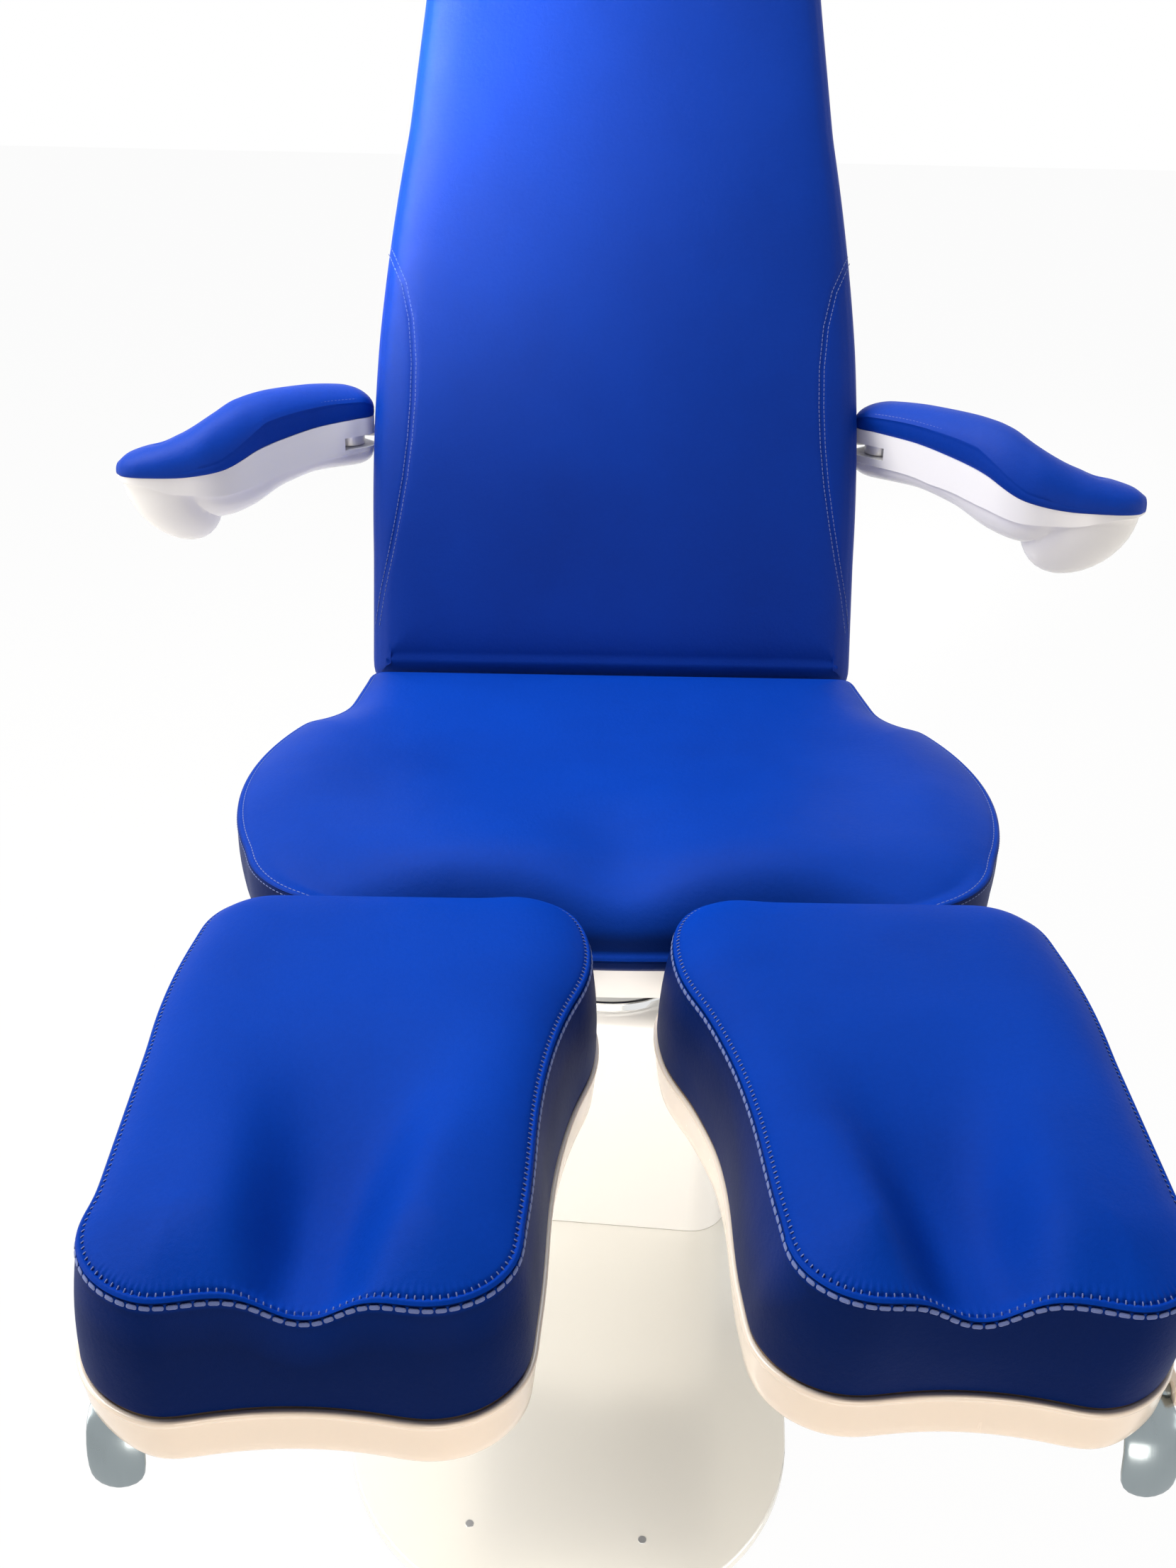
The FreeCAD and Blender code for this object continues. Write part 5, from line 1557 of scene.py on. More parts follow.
@dataclass
class BackCushion(Cushion):
    """The back: tapered, with a stitched bolster down each side."""

    crown: float = 12 * MM
    run: float = 80 * MM
    half: float = 260.5 * MM
    length: float = 800 * MM
    thick: float = 70 * MM
    foot_y: float = 158.5 * MM
    foot_z: float = 545 * MM
    lean: float = math.radians(20)
    seam_back: float = 12 * MM
    skirt: float = 13 * MM
    skirt_run: float = 60 * MM
    outline: tuple[tuple, ...] = (
        ("start", (0.0, 0.0)),
        ("line", (0.955, 0.0)),
        ("arc", (0.990, 0.004), (1.0, 0.017)),
        ("line", (1.0, 0.156)),
        ("arc", (1.0, 0.294), (0.977, 0.435)),
        ("arc", (0.930, 0.5625), (0.856, 0.706)),
        ("line", (0.794, 0.8625)),
        ("line", (0.770, 0.931)),
        ("arc", (0.712, 0.981), (0.545, 1.0)),
        ("line", (0.0, 1.0)),
    )
    # The right bolster seam across and up the back, in mm
    bolster: tuple[tuple[float, float], ...] = (
        (254, 462), (240, 436), (226, 405), (218, 368), (215, 325), (216, 285),
        (219, 245), (224, 205), (231, 165), (239, 125), (248, 85), (254, 50),
    )
    wall_shares: tuple[float, ...] = (0.15, 0.3, 0.45, 0.6, 0.72)
    # The rolled edge, inside the outline and before the seam plane, in mm
    edge: tuple[tuple[float, float], ...] = (
        (0.6, -14.0), (1.2, -11.0), (2.2, -8.0), (3.6, -5.2), (5.4, -2.6), (7.6, -0.4),
    )
    face_insets: tuple[float, ...] = (10.0, 12.6, 15.4, 18.4, 21.6)
    row: StitchRow = StitchRow(3.4 * MM, 0.8 * MM, 0.6 * MM, 4.6 * MM)
    row_offset: float = 2.6 * MM

    def plan(self) -> PlanLine:
        """The cushion's outline seen from the front, anticlockwise.

        Returns:
            The plan line.
        """
        right = share_path(self.outline, lambda x, z: (self.half * x, self.length * z))
        left = right[::-1] * np.array([-1.0, 1.0])
        corners = [
            (-self.half, 0.0),
            (self.half, 0.0),
            (0.76 * self.half, self.length),
            (-0.76 * self.half, self.length),
        ]
        return PlanLine.traced(np.vstack([right, left[1:-1]]), corners, self.samples, 8 * MM)

    def bolster_gap(self, plan: np.ndarray) -> np.ndarray:
        """Distance from plan points to the nearer bolster seam."""
        line = resampled_open(np.array(self.bolster) * MM, 240)
        return nearest(np.column_stack([np.abs(plan[:, 0]), plan[:, 1]]), line)

    def front(self, plan: np.ndarray, depth: np.ndarray) -> np.ndarray:
        """How far the front stands before the seam plane at outline points.

        Args:
            plan: Points across and up the back, (n, 2).
            depth: Their distance in from the outline, (n,).

        Returns:
            Heights above the seam plane, (n,).
        """
        x, z = plan.T
        gap = self.bolster_gap(plan)
        sewn_in = -1.3 * MM * bell(gap / (2.6 * MM)) * eased(depth, 0, 5 * MM)
        lumbar = 2.5 * MM * bell(x / 0.17, (z - 0.24) / 0.13)
        waist = -3.0 * MM * bell(x / 0.13, (z - 0.53) / 0.16)
        head = 1.5 * MM * bell(x / 0.14, (z - 0.72) / 0.07)
        inside = eased(depth, 0, 60 * MM)
        return self.rise(depth) + sewn_in + (lumbar + waist + head) * inside

    def near_edge(self, plan: np.ndarray, depth: np.ndarray) -> np.ndarray:
        """The front's height, brought down towards the outline."""
        return self.front(plan, depth) * eased(depth, -4 * MM, 20 * MM)

    def hung(self, spots: Loop, share: np.ndarray | float = 1.0) -> Loop:
        """Let the foot's outline points hang by the skirt, or by a share of it."""
        fall = share * eased(spots[:, 1], self.skirt_run, 0)
        return spots - np.outer(fall, (0, self.skirt))

    def world(self, plan: np.ndarray, height: np.ndarray) -> np.ndarray:
        """Outline points and heights above the seam plane as chair points.

        Args:
            plan: Points across and up the back, (n, 2).
            height: Heights above the seam plane, (n,).

        Returns:
            Chair points, (n, 3).
        """
        local_y = self.seam_back - height
        cos, sin = math.cos(self.lean), math.sin(self.lean)
        y = self.foot_y + local_y * cos + plan[:, 1] * sin
        z = self.foot_z - local_y * sin + plan[:, 1] * cos
        return np.column_stack([plan[:, 0], y, z])

    def build(self) -> None:
        """Model the cushion with its rolled edge and its bolster stitching."""
        plan = self.plan()
        count = len(plan.points)

        def ring(outward: float, height: float) -> Loop:
            """Move the outline outward and set it off the seam plane.

            Args:
                outward: How far outward, in mm.
                height: How far before the seam plane, in mm.

            Returns:
                The ring's points.
            """
            heights = np.full(count, height)
            spots = self.hung(plan.moved(outward * MM), eased(heights, -44.0, -12.0))
            return self.world(spots, heights * MM)

        rear = (self.seam_back - self.thick) / MM
        rings = [ring(-16, rear), ring(-12, rear + 0.5), ring(-10.2, rear + 3)]
        for share in self.wall_shares:
            outward = -10 * (1 - share) ** 1.5 + 0.8 * math.sin(math.pi * share)
            rings.append(ring(outward, rear * (1 - share)))
        rings.extend(ring(-inset, height) for inset, height in self.edge)
        for inset in self.face_insets:
            spots = plan.moved(-inset * MM)
            depth = np.full(count, inset * MM)
            height = self.near_edge(spots, depth)
            spots = self.hung(spots)
            rings.append(self.world(spots, height))
        inner = patch_inside(spots)
        flat = inner.reshape(-1, 2)
        grid = self.world(flat, self.front(flat, plan.depth_of(flat)))
        grid = grid.reshape(*inner.shape[:2], 3)
        piece = closed_mesh("back_pad", rings, grid)
        self.covered(piece, "backrest", Finishes.BACK, "back_cushion", fill=0.9)
        self.sew(plan)

    @staticmethod
    def inside(spots: np.ndarray, plan: PlanLine) -> np.ndarray:
        """Which spots on the right half lie inside the outline.

        Args:
            spots: Points on the right half, (n, 2).
            plan: The outline.

        Returns:
            True for each that lies inside.
        """
        right = plan.points[plan.points[:, 0] > 0.12]
        right = right[np.argsort(right[:, 1])]
        return spots[:, 0] < np.interp(spots[:, 1], right[:, 1], right[:, 0]) - 0.5 * MM

    def sew(self, plan: PlanLine) -> None:
        """Lay two rows of stitches along each bolster seam.

        Args:
            plan: The outline.
        """
        line = resampled_open(np.array(self.bolster) * MM, 200)
        ahead = unit(np.gradient(line, axis=0))
        beside = np.column_stack([ahead[:, 1], -ahead[:, 0]])
        rows = []
        for offset in (-self.row_offset, self.row_offset):
            moved = line + beside * offset
            for sign in (1, -1):
                flat = moved[self.inside(moved, plan)] * np.array([sign, 1.0])
                depth = plan.depth_of(flat)
                height = self.near_edge(flat, depth)
                insets, falls = np.array(self.edge).T * MM
                rim = np.interp(depth, insets, falls)
                height = np.where(depth < insets[-1], rim, np.maximum(height, falls[-1]))
                path = self.world(flat, height + 0.15 * MM)
                spots = self.row.places(path, closed=False)
                along = np.gradient(spots, axis=0)
                normal = np.array([0.0, -math.cos(self.lean), math.sin(self.lean)])
                rows.append((self.row, spots, along, np.tile(normal, (len(spots), 1))))
        told(sewn("back_stitching", rows), "backrest", Finishes.THREAD)


@dataclass
class Armrest:
    """An armrest: an arched pad on a moulding that ends in a bulb under the hand."""

    hinge_x: float = 289 * MM
    hinge_y: float = 292 * MM
    split: dict[Side, float] = sided(784.5 * MM, 788 * MM)
    length: float = 275 * MM
    half: float = 30 * MM
    drop: dict[Side, float] = sided(37 * MM, 31 * MM)
    rise: dict[Side, float] = sided(34 * MM, 38 * MM)
    sag: dict[Side, float] = sided(4.5 * MM, 0.0)
    depth: float = 96 * MM
    bulb: tuple[float, float, float] = (57 * MM, 33 * MM, 74 * MM)
    bulb_spot: tuple[float, float] = (0.141, -0.815)
    bulb_lean: float = 13 * MM
    hand_way: tuple[float, float] = (0.58, -0.815)
    dimple_spot: tuple[float, float] = (0.170, -0.84)
    dimple_half: float = 9.5 * MM
    dimple_deep: float = 4.6 * MM
    eye_z: float = 763 * MM
    eye_half: float = 6.6 * MM
    slot_radius: float = 33 * MM
    dome_steps: int = 32
    bare_ends: int = 6
    steps: int = 96
    stretch: dict[Side, float] = sided(1.03, 0.895)
    # Ahead, outward, turn, half width, fall of the split, rise of the pad, depth of the moulding
    stations: tuple[tuple[float, ...], ...] = (
        (-0.100, 0.0, 0.0, 0.40, 0.0, 0.29, 0.50),
        (-0.060, 0.0, 0.0, 0.80, 0.0, 0.62, 0.55),
        (0.0, 0.0, 0.0, 0.93, 0.0, 0.82, 0.57),
        (0.20, 0.012, 0.0, 0.90, 0.03, 1.0, 0.55),
        (0.38, 0.015, 0.0, 0.93, 0.16, 1.04, 0.62),
        (0.54, 0.018, 0.08, 1.02, 0.38, 0.94, 0.78),
        (0.66, 0.040, 0.34, 1.16, 0.84, 0.64, 0.84),
        (0.79, 0.115, 0.50, 1.14, 1.0, 0.12, 0.76),
        (0.90, 0.195, 0.54, 1.02, 1.0, -0.16, 0.52),
        (0.960, 0.240, 0.54, 0.76, 1.0, -0.34, 0.46),
        (0.99, 0.262, 0.54, 0.36, 1.0, -0.54, 0.42),
    )
    pad_panel: Table = ((-0.1, 0, 0.5, 0.66, 0.8, 1), (0.4, 0.60, 0.56, 0.22, 0.18, 0.3))
    pad_edge: Table = ((-0.06, 0.05, 0.52, 0.70), (0.6, 0.95, 0.95, 0.55))
    pad_lean_mm: Table = ((-0.06, 0.02, 0.5, 0.68), (0.4, 4.0, 3.6, 0.6))
    shell_lean_mm: Table = ((-0.06, 0.02, 0.5, 0.68), (0.4, 3.4, 3.0, 1.6))
    shell_upright: Table = ((-0.1, 0.3, 0.6, 0.74, 1), (0.66, 0.72, 0.52, 0.42, 0.4))
    shell_ledge_mm: Table = ((0.0, 0.3, 0.74), (2.2, 3.6, 4.6))
    bulb_shares: tuple[float, ...] = (
        0.0, 0.08, 0.18, 0.30, 0.42, 0.54, 0.65, 0.75, 0.84, 0.91, 0.96, 0.99,
    )
    out: dict[Side, float] = sided(40.5, 44.5)
    row: StitchRow = StitchRow(3.2 * MM, 0.7 * MM, 0.6 * MM, 4.4 * MM)

    def shares(self) -> np.ndarray:
        """The stations' shares, smoothly sampled from root to hand.

        Returns:
            A row of shares for each section.
        """
        table = np.array(self.stations)
        knots = np.linspace(0, 1, len(table))
        wanted = np.linspace(0, 1, self.steps)
        return np.column_stack([monotone(knots, column, wanted) for column in table.T])

    def reach(self, side: Side) -> float:
        """The arm's length on a side."""
        return self.length * self.stretch[side]

    def outside(self, x: np.ndarray | float, y: np.ndarray | float, side: Side) -> np.ndarray:
        """A place beside the hinge, before the arm swings out, as a chair plan point.

        Args:
            x: How far out of the hinge.
            y: How far behind it.
            side: The chair's side.

        Returns:
            Plan points, (n, 2).
        """
        angle = math.radians(self.out[side])
        out_x = x * math.cos(angle) - y * math.sin(angle) + self.hinge_x
        out_y = x * math.sin(angle) + y * math.cos(angle) + self.hinge_y
        return np.column_stack([out_x * side.value, out_y])

    def sections(self, profile: Callable[[np.ndarray, Side], Loop], side: Side) -> list[Loop]:
        """Section loops along the arm, swung out to one side.

        Args:
            profile: Gives a section's places across and heights for a row of shares.
            side: The armrest's side.

        Returns:
            Loops of chair points, each (n, 3).
        """
        length = self.reach(side)
        loops = []
        for row in self.shares():
            swing = row[2] * math.pi / 2
            section = profile(row, side)
            x = length * row[1] + section[:, 0] * math.cos(swing)
            y = -length * row[0] + section[:, 0] * math.sin(swing)
            loops.append(np.column_stack([self.outside(x, y, side), section[:, 1]]))
        return loops

    def pad_profile(self, row: np.ndarray, side: Side) -> Loop:
        """A pad section: flat below, side panels that lean in, a seam and a domed top.

        Args:
            row: The section's shares.
            side: The chair's side.

        Returns:
            Places across and heights, (n, 2).
        """
        half = self.half * row[3]
        split = self.split[side] - self.drop[side] * row[4]
        top = self.split[side] + self.rise[side] * row[5]
        top -= self.sag[side] * eased(row[0], 0.48, 0.72)
        panel = np.interp(row[0], *self.pad_panel)
        edge = np.interp(row[0], *self.pad_edge)
        lean = np.interp(row[0], *self.pad_lean_mm) * MM
        shoulder = split + panel * (top - split)
        u = np.cos(np.linspace(0, math.pi, self.dome_steps + 1))
        dome = shoulder + (top - shoulder) * (1 - np.abs(u) ** 2.4) ** edge
        seam = 1.0 * MM * bell((1 - np.abs(u)) / 0.05)
        over = np.column_stack([half * u, dome - seam])
        rise = np.linspace(0, 1, 9)[1:-1]
        bulge = half * (1 + 0.03 * np.sin(math.pi * rise)) - 0.5 * MM - lean * rise
        down = np.column_stack([-bulge, shoulder - (shoulder - split) * rise])
        up = np.column_stack([bulge, down[:, 1]])[::-1]
        foot = np.array([half - lean - 1.2 * MM, 0])
        under = np.linspace(-1, 1, 9)[:, None] * foot + np.array([0, split])
        return np.vstack([over, down, under, up])

    def shell_profile(self, row: np.ndarray, side: Side) -> Loop:
        """A shell section: flat above, upright sides, a ledge and a rounded keel.

        Args:
            row: The section's shares.
            side: The chair's side.

        Returns:
            Places across and heights, (n, 2).
        """
        lean = np.interp(row[0], *self.shell_lean_mm) * MM
        half = max(self.half * row[3] - lean, self.half * row[3] / 2)
        split = self.split[side] - self.drop[side] * row[4]
        low = self.split[side] - self.depth * row[6]
        upright = np.interp(row[0], *self.shell_upright)
        ledge = np.interp(row[0], *self.shell_ledge_mm) * MM
        waist = split - upright * (split - low)
        u = np.cos(np.linspace(math.pi, 0, 31))
        keel = waist - (waist - low) * (1 - np.abs(u) ** 2.1) ** 0.52
        under = np.column_stack([(half - ledge) * u, keel])
        drop = np.linspace(0, 1, 8)
        wall = np.column_stack([np.full(8, -half), split - (split - waist) * drop * 0.97])
        lid = np.linspace(1, -1, 9)[1:-1, None] * np.array([half, 0]) + np.array([0, split])
        return np.vstack([lid, wall, under, wall[::-1] * np.array([-1, 1])])

    def egg(self, side: Side) -> bpy.types.Object:
        """Model the bulb under the hand, rings that close in like half an egg.

        Args:
            side: The chair's side.

        Returns:
            The bulb.
        """
        length = self.reach(side)
        ahead, across = np.array(self.hand_way), np.array([-self.hand_way[1], self.hand_way[0]])
        turns = np.linspace(0, 2 * math.pi, 56, endpoint=False)
        long, wide, deep = self.bulb
        long *= self.stretch[side]
        top = self.split[side] - self.drop[side]
        loops = []
        for share in self.bulb_shares:
            size = (1 - share**2.2) ** 0.5
            centre = np.array(self.bulb_spot) * length - ahead * self.bulb_lean * share**2
            spots = centre + np.outer(np.cos(turns) * size * long, ahead)
            spots = spots + np.outer(np.sin(turns) * size * wide, across)
            plan = self.outside(spots[:, 0], spots[:, 1], side)
            loops.append(np.column_stack([plan, np.full(len(plan), top - deep * share)]))
        return Bench.towers("bulb", loops)

    def build(self, side: Side) -> None:
        """Model one armrest's pad, seam and shell.

        Args:
            side: The chair's side.
        """
        body = f"arm_{side.label}"
        loops = [self.dimpled(loop, side) for loop in self.sections(self.pad_profile, side)]
        pad = Bench.towers(f"armrest_pad_{side.label}", loops)
        Bench.finish(pad, 50)
        told(pad, body, Finishes.VINYL, f"arm_pad_{side.label}")
        sections = self.sections(self.shell_profile, side)
        shell = Bench.towers(f"armrest_moulding_{side.label}", sections)
        egg = self.egg(side)
        Bench.apply(shell, "BOOLEAN", operation="UNION", object=egg, solver="EXACT")
        bpy.data.objects.remove(egg)
        self.cut_slot(shell, side)
        Bench.finish(shell, 40)
        told(shell, body, Finishes.SHELL, f"arm_shell_{side.label}")
        rows = []
        stitched = np.array(loops[self.bare_ends : -self.bare_ends])
        middle = stitched[:, self.dome_steps // 2]
        for corner in (0, self.dome_steps):
            line = stitched[:, corner]
            line = line + unit(middle - line) * 2.6 * MM + np.array([0, 0, 2.2 * MM])
            spots = self.row.places(line, closed=False)
            along = np.gradient(spots, axis=0)
            normals = np.tile([0.0, 0.0, 1.0], (len(spots), 1))
            rows.append((self.row, spots, along, normals))
        told(sewn(f"armrest_stitching_{side.label}", rows), body, Finishes.THREAD)

    def dimpled(self, loop: Loop, side: Side) -> Loop:
        """Press the shallow dimple into the pad's hand end.

        Args:
            loop: A section's points.
            side: The chair's side.

        Returns:
            The points with the dimple pressed in.
        """
        length = self.reach(side)
        spot = self.outside(*(share * length for share in self.dimple_spot), side)[0]
        gap = np.hypot(*(loop[:, :2] - spot).T)
        pressed = loop.copy()
        top = loop[:, 2] > loop[:, 2].min() + 6 * MM
        pressed[:, 2] -= self.dimple_deep * bell(gap / self.dimple_half) * top
        return pressed

    def cut_slot(self, shell: bpy.types.Object, side: Side) -> None:
        """Cut the slot that the bracket's eye turns in.

        Args:
            shell: The moulding.
            side: The chair's side.
        """
        Bench.clear()
        bpy.ops.mesh.primitive_cylinder_add(
            vertices=48,
            radius=self.slot_radius,
            depth=2 * self.eye_half,
            location=(self.hinge_x * side.value, self.hinge_y, self.eye_z),
        )
        cutter = bpy.context.object
        Bench.apply(shell, "BOOLEAN", operation="DIFFERENCE", object=cutter, solver="EXACT")
        bpy.data.objects.remove(cutter)


def monotone(knots: np.ndarray, values: np.ndarray, wanted: np.ndarray) -> np.ndarray:
    """Interpolate smoothly without overshoot.

    Args:
        knots: Rising places of the values.
        values: The values there.
        wanted: Places to read.

    Returns:
        Values at the wanted places.
    """
    step = np.diff(knots)
    slope = np.diff(values) / step
    tangent = np.zeros(len(values))
    tangent[0], tangent[-1] = slope[0], slope[-1]
    for k in range(1, len(values) - 1):
        if slope[k - 1] * slope[k] > 0:
            tangent[k] = 2 * slope[k - 1] * slope[k] / (slope[k - 1] + slope[k])
    which = np.clip(np.searchsorted(knots, wanted) - 1, 0, len(step) - 1)
    t = (wanted - knots[which]) / step[which]
    h = step[which]
    low, high = values[which], values[which + 1]
    return (
        (1 + 2 * t) * (1 - t) ** 2 * low
        + t * (1 - t) ** 2 * h * tangent[which]
        + t * t * (3 - 2 * t) * high
        + t * t * (t - 1) * h * tangent[which + 1]
    )


# Rigid pieces


# The lever's pin on the right side
LEVER_PIN = (308 * MM, -716 * MM, 449 * MM)


@dataclass
class LegTray:
    """The white moulding under a leg rest: a lipped rim and the release lever's two ears."""

    cushion: LegCushion = field(default_factory=LegCushion)
    base: float = 458 * MM
    rim: float = 484 * MM
    skirt: float = 9 * MM
    skirt_from: float = -400 * MM
    skirt_full: float = -460 * MM
    # How far outside the cushion's foot and above the base in mm, and the share of the skirt
    wall: tuple[tuple[float, float, float], ...] = (
        (-8.0, 0.0, 0.0), (-5.0, 0.0, 0.0), (-4.7, 0.0, 0.6), (-4.2, 0.0, 0.93), (-3.2, 0.0, 1.0),
        (-1.8, 1.2, 1.0), (-0.8, 3.2, 1.0), (-0.1, 8.0, 0.8), (0.7, 14.0, 0.4), (1.1, 20.0, 0.0),
        (1.3, 21.4, 0.0), (2.1, 22.1, 0.0), (2.5, 23.2, 0.0), (2.5, 24.7, 0.0), (2.1, 25.6, 0.0),
        (1.2, 26.0, 0.0), (-0.6, 26.0, 0.0), (-1.4, 25.7, 0.0), (-1.8, 24.8, 0.0), (-2.0, 5.0, 0.0),
        (-4.0, 4.2, 0.0), (-8.0, 4.0, 0.0),
    )
    board: tuple[tuple[float, float], ...] = (
        (-3.2, -12.0), (-2.6, -11.4), (-2.6, -0.6), (-3.2, 0.0),
    )
    ear_thick: float = 4 * MM
    ear_reach: float = 9 * MM
    ear_top: float = 9.5 * MM
    catch_half: float = 17.3 * MM

    def build(self, side: Side) -> None:
        """Model the tray's outside, lip and inside as one wall, and add the ears.

        Args:
            side: The chair's side.
        """
        cushion = self.cushion
        plan = cushion.plan(side)
        lean = cushion.leaning(plan.points, side)

        def ring(outward: float, height: float, hang: float = 0.0) -> Loop:
            """Place one ring of the wall.

            Args:
                outward: How far outside the cushion's foot, in mm.
                height: Its height.
                hang: How much of the skirt it hangs by.

            Returns:
                The ring's points.
            """
            spots = (plan.moved(cushion.flare + outward * MM) + lean)[::2]
            level = height - hang * self.skirt_at(spots)
            return np.column_stack([spots * np.array([side.value, 1.0]), level])

        loops = [ring(out, self.base + up * MM, hang) for out, up, hang in self.wall]
        tray = Bench.towers(f"leg_tray_{side.label}", loops)
        Bench.finish(tray, 50)
        Bench.join(tray, *(self.ear(side, offset) for offset in (-1, 1)))
        told(tray, f"leg_rest_{side.label}", Finishes.TRAY, f"leg_shell_{side.label}")
        loops = [ring(out, self.rim + up * MM) for out, up in self.board]
        board = Bench.finish(Bench.towers(f"leg_plywood_{side.label}", loops), 50)
        told(board, f"leg_rest_{side.label}", Finishes.WOOD, f"leg_board_{side.label}")

    def skirt_at(self, spots: np.ndarray) -> np.ndarray:
        """How far the rim hangs below the tray's floor; not at the rear or over the lever.

        Args:
            spots: Plan points of the right tray, (n, 2).

        Returns:
            Lengths in metres, (n,).
        """
        rear = eased(spots[:, 1], self.skirt_from, self.skirt_full)
        lever = np.hypot(spots[:, 0] - LEVER_PIN[0], spots[:, 1] - LEVER_PIN[1] + 36 * MM)
        return self.skirt * rear * (1 - 0.8 * bell(lever / (30 * MM)))

    def ear(self, side: Side, offset: int) -> bpy.types.Object:
        """Model one ear: a small plate, rounded below, that holds the lever's pin.

        Args:
            side: The chair's side.
            offset: -1 for the inner ear and 1 for the outer.

        Returns:
            The ear.
        """
        x, y, z = LEVER_PIN
        middle = side.value * (x + offset * (self.catch_half + self.ear_thick / 2))
        turns = np.linspace(0, math.pi, 15)
        low = np.column_stack([-np.cos(turns), -np.sin(turns)]) * self.ear_reach
        high = [[self.ear_reach, self.ear_top], [-self.ear_reach, self.ear_top]]
        outline = np.vstack([low, high])
        loops = [
            np.column_stack([
                np.full(len(outline), middle + shift * self.ear_thick / 2),
                y + outline[:, 0] * scale,
                z + outline[:, 1] * np.where(outline[:, 1] < 0, scale, 1.0),
            ])
            for shift, scale in ((-1, 0.93), (-0.8, 1.0), (0.8, 1.0), (1, 0.93))
        ]
        return Bench.finish(Bench.towers("ear", loops), 40)


@dataclass
class ReleaseLever:
    """A bright blade that bends down from its barrel and has rounded lower corners."""

    width: float = 34 * MM
    thick: float = 4 * MM
    bow: float = 3 * MM
    rods: tuple[tuple[float, float], ...] = ((5 * MM, 34 * MM), (3 * MM, 43 * MM))
    # The blade's bend, as Y, Z and width in mm
    path: tuple[tuple[float, float, float], ...] = (
        (-717, 449.5, 34), (-722, 450, 34), (-730, 450, 34), (-737, 448.5, 34), (-743, 445, 34),
        (-747.5, 439.5, 34), (-750.5, 432, 34), (-752, 424, 34), (-752.6, 416, 33.4),
        (-752.6, 409.5, 31.6), (-752.3, 405.5, 28), (-752, 402.8, 22), (-751.8, 401.4, 14),
        (-751.7, 401.0, 5),
    )

    def build(self, side: Side) -> None:
        """Model the blade as sections along its bend, then its barrel and pin.

        Args:
            side: The chair's side.
        """
        path = np.array(self.path) * MM
        ahead = unit(np.gradient(path[:, :2], axis=0))
        angle = np.linspace(0, 2 * math.pi, 40, endpoint=False)
        cos, sin = np.cos(angle), np.sin(angle)
        across = np.sign(cos) * np.abs(cos) ** 0.5
        face = np.sign(sin) * np.abs(sin) ** 0.3
        loops = []
        for (y, z, wide), (dy, dz) in zip(path, ahead):
            x = across * wide / 2
            off = face * self.thick / 2 - self.bow * (2 * x / self.width) ** 2
            places = [side.value * (LEVER_PIN[0] + x), y + off * dz, z - off * dy]
            loops.append(np.column_stack(places))
        blade = Bench.towers(f"release_lever_{side.label}", loops)
        Bench.finish(blade, 35)
        Bench.join(blade, *(self.rod(side, *sizes) for sizes in self.rods))
        body = f"leg_lever_{side.label}"
        told(blade, body, Finishes.LEVER, body)

    def rod(self, side: Side, radius: float, length: float) -> bpy.types.Object:
        """Model a round rod across the lever's barrel, its ends bevelled.

        Args:
            side: The chair's side.
            radius: The rod's radius.
            length: Its length.

        Returns:
            The rod.
        """
        Bench.clear()
        x, y, z = LEVER_PIN
        bpy.ops.mesh.primitive_cylinder_add(vertices=32, radius=radius, depth=length)
        place = partial(bpy.ops.transform.translate, value=(side.value * x, y, z))
        rod = Bench.edit(bpy.context.object, LAID_ALONG_X, place)
        Bench.apply(rod, "BEVEL", width=0.5 * MM, segments=2, limit_method="ANGLE")
        return Bench.finish(rod, 35)


@dataclass
class FrameNodes:
    """The frame's own nodes, dressed in their finishes."""

    finishes: dict[str, Finish] = field(
        default_factory=lambda: {
            "cream_plate": Finishes.PLATE,
            "rubber": Finishes.RUBBER,
            "steel": Finishes.STEEL,
            "dark_metal": Finishes.DARK,
            "black_plastic": Finishes.PLASTIC,
            "white_cover": Finishes.COVER,
            "white_moulding": Finishes.SHELL,
            "chrome": Finishes.CHROME,
            "blue_vinyl": Finishes.VINYL,
            "plywood": Finishes.WOOD,
        }
    )
    special: dict[str, Finish] = field(
        default_factory=lambda: {
            "swivel_plate": Finishes.DISC,
            "arm_bracket_left": Finishes.COVER,
            "arm_bracket_right": Finishes.COVER,
        }
    )

    def build(self) -> None:
        """Dress every node of the frame."""
        slots = {s["node"]: s["material_slot"] for s in frame["record"]["subparts"]}
        for name, node in frame["nodes"].items():
            finish = self.special.get(name, self.finishes[slots[name]])
            finish.dress(node)
            LOG.info("%s is dressed in %s", name, finish.name)


# The set


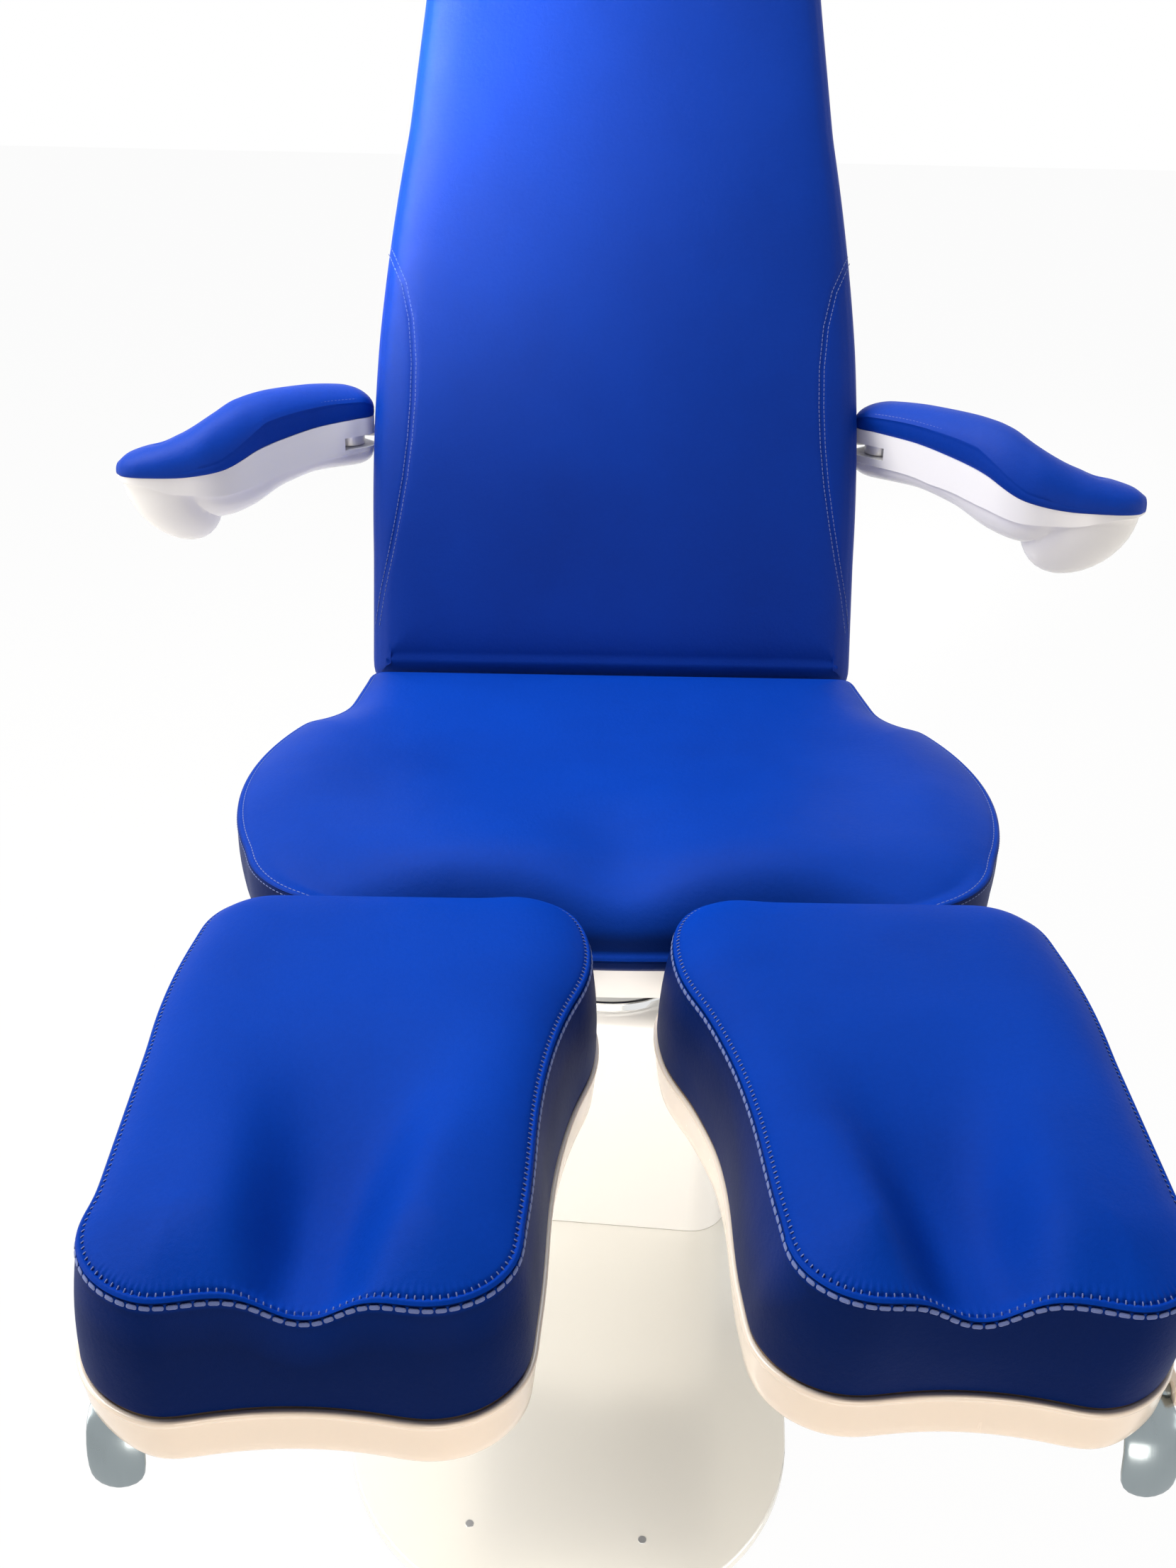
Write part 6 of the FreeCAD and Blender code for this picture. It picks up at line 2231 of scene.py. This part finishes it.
@dataclass
class Studio:
    """Camera, lamps, floor and background."""

    eye: Colour = (-0.0480, -1.3932, 1.2024)
    down: float = 27.0
    yaw: float = -0.908
    roll: float = -1.319
    lens: float = 35.80
    sensor: float = 36.0
    far: float = 50.0
    floor_size: float = 24.0
    floor_colour: Colour = (0.88, 0.85, 0.80)
    floor_white: float = 0.965
    sky_colour: Colour = (1.0, 0.93, 0.86)
    sky_strength: float = 0.05

    def camera(self) -> None:
        """Put the camera where the photograph was taken from."""
        data = bpy.data.cameras.new("camera")
        data.lens = self.lens
        data.sensor_width = self.sensor
        data.clip_end = self.far
        camera = Bench.placed("camera", data)
        y, p, r = (math.radians(a) for a in (self.yaw, self.down, self.roll))
        ahead = Vector((-math.sin(y) * math.cos(p), math.cos(y) * math.cos(p), -math.sin(p)))
        right = Vector((math.cos(y), math.sin(y), 0.0))
        below = ahead.cross(right)
        right, below = (
            math.cos(r) * right + math.sin(r) * below,
            -math.sin(r) * right + math.cos(r) * below,
        )
        axes = Matrix((right, -below, -ahead)).transposed()
        camera.matrix_world = Matrix.Translation(self.eye) @ axes.to_4x4()
        bpy.context.scene.camera = camera

    @staticmethod
    def lamp(
        name: str,
        place: Colour,
        aim: Colour,
        size: float,
        watts: float,
        tint: Colour,
        spread: float = 180,
    ) -> None:
        """Hang one soft square lamp.

        Args:
            name: The lamp's name.
            place: Where it hangs.
            aim: What it faces.
            size: Its width.
            watts: Its power.
            tint: Its colour.
            spread: How wide its beam is, in degrees.
        """
        data = bpy.data.lights.new(name, "AREA")
        data.spread = math.radians(spread)
        data.size, data.energy, data.color = size, watts, tint
        lamp = Bench.placed(name, data)
        lamp.location = place
        lamp.visible_camera = False
        lamp.rotation_euler = (Vector(aim) - Vector(place)).to_track_quat("-Z", "Y").to_euler()

    def build(self) -> None:
        """Set the camera, the lamps, the floor and the background."""
        self.camera()
        white, warm, cool = (1.0, 0.97, 0.94), (1.0, 0.91, 0.83), (0.96, 0.98, 1.0)
        self.lamp("ceiling", (0.0, 0.60, 2.7), (0.0, 0.2, 0.5), 1.8, 38.0, (0.93, 0.97, 1.0))
        self.lamp("upper_left", (-1.3, 0.0, 2.3), (0.0, -0.1, 0.5), 1.2, 50.0, white)
        self.lamp("window", (-1.25, -0.8, 2.0), (-0.36, 0.45, 1.16), 0.4, 4.6, cool, spread=21)
        self.lamp("left", (-2.2, -0.4, 1.0), (0.0, 0.0, 0.7), 1.3, 20.0, white)
        self.lamp("right", (2.2, -0.6, 0.9), (0.0, 0.0, 0.7), 1.3, 14.0, white)
        self.lamp("low", (0.15, -2.3, 0.25), (0.0, 0.0, 0.3), 0.9, 18.0, warm)
        self.lamp("under", (0.0, -0.72, 0.24), (0.0, -0.25, 0.05), 0.4, 1.0, white)
        self.floor()
        self.world()

    def floor(self) -> None:
        """A pale floor that keeps a soft shadow."""
        Bench.clear()
        bpy.ops.mesh.primitive_plane_add(size=self.floor_size, location=(0, 0, -0.0005))
        floor = bpy.context.object
        floor.name = "floor"
        material = bpy.data.materials.new("pale_floor")
        book = NodeTree(material)
        plain = book.node("ShaderNodeBsdfDiffuse", None, {"Color": self.floor_colour})
        white = book.node("ShaderNodeEmission", None, {"Color": (1.0, 1.0, 1.0), "Strength": 1.0})
        share = book.seen_by("Camera", "Glossy") * self.floor_white
        book.mixed_out("ShaderNodeOutputMaterial", share, plain, white)
        floor.data.materials.append(material)

    def world(self) -> None:
        """White to the camera and to mirrors, a dim soft sky to the rest."""
        world = bpy.data.worlds.new("studio")
        bpy.context.scene.world = world
        book = NodeTree(world)
        kind = "ShaderNodeBackground"
        sky = book.node(kind, None, {"Color": self.sky_colour, "Strength": self.sky_strength})
        white = book.node(kind, None, {"Color": (1.0, 1.0, 1.0), "Strength": 1.0})
        share = book.seen_by("Camera", "Transmission", "Glossy")
        book.mixed_out("ShaderNodeOutputWorld", share, sky, white)


def main() -> None:
    """Build the set, then the chair from the floor up."""
    logging.basicConfig(level=logging.INFO, format="%(name)s %(message)s")
    bpy.context.scene.view_settings.view_transform = "Standard"
    Studio().build()
    FrameNodes().build()
    SeatCushion().build()
    BackCushion().build()
    pieces = (LegCushion(), LegTray(), ReleaseLever(), Armrest())
    for side in Side:
        for piece in pieces:
            piece.build(side)


if __name__ == "__main__":
    main()
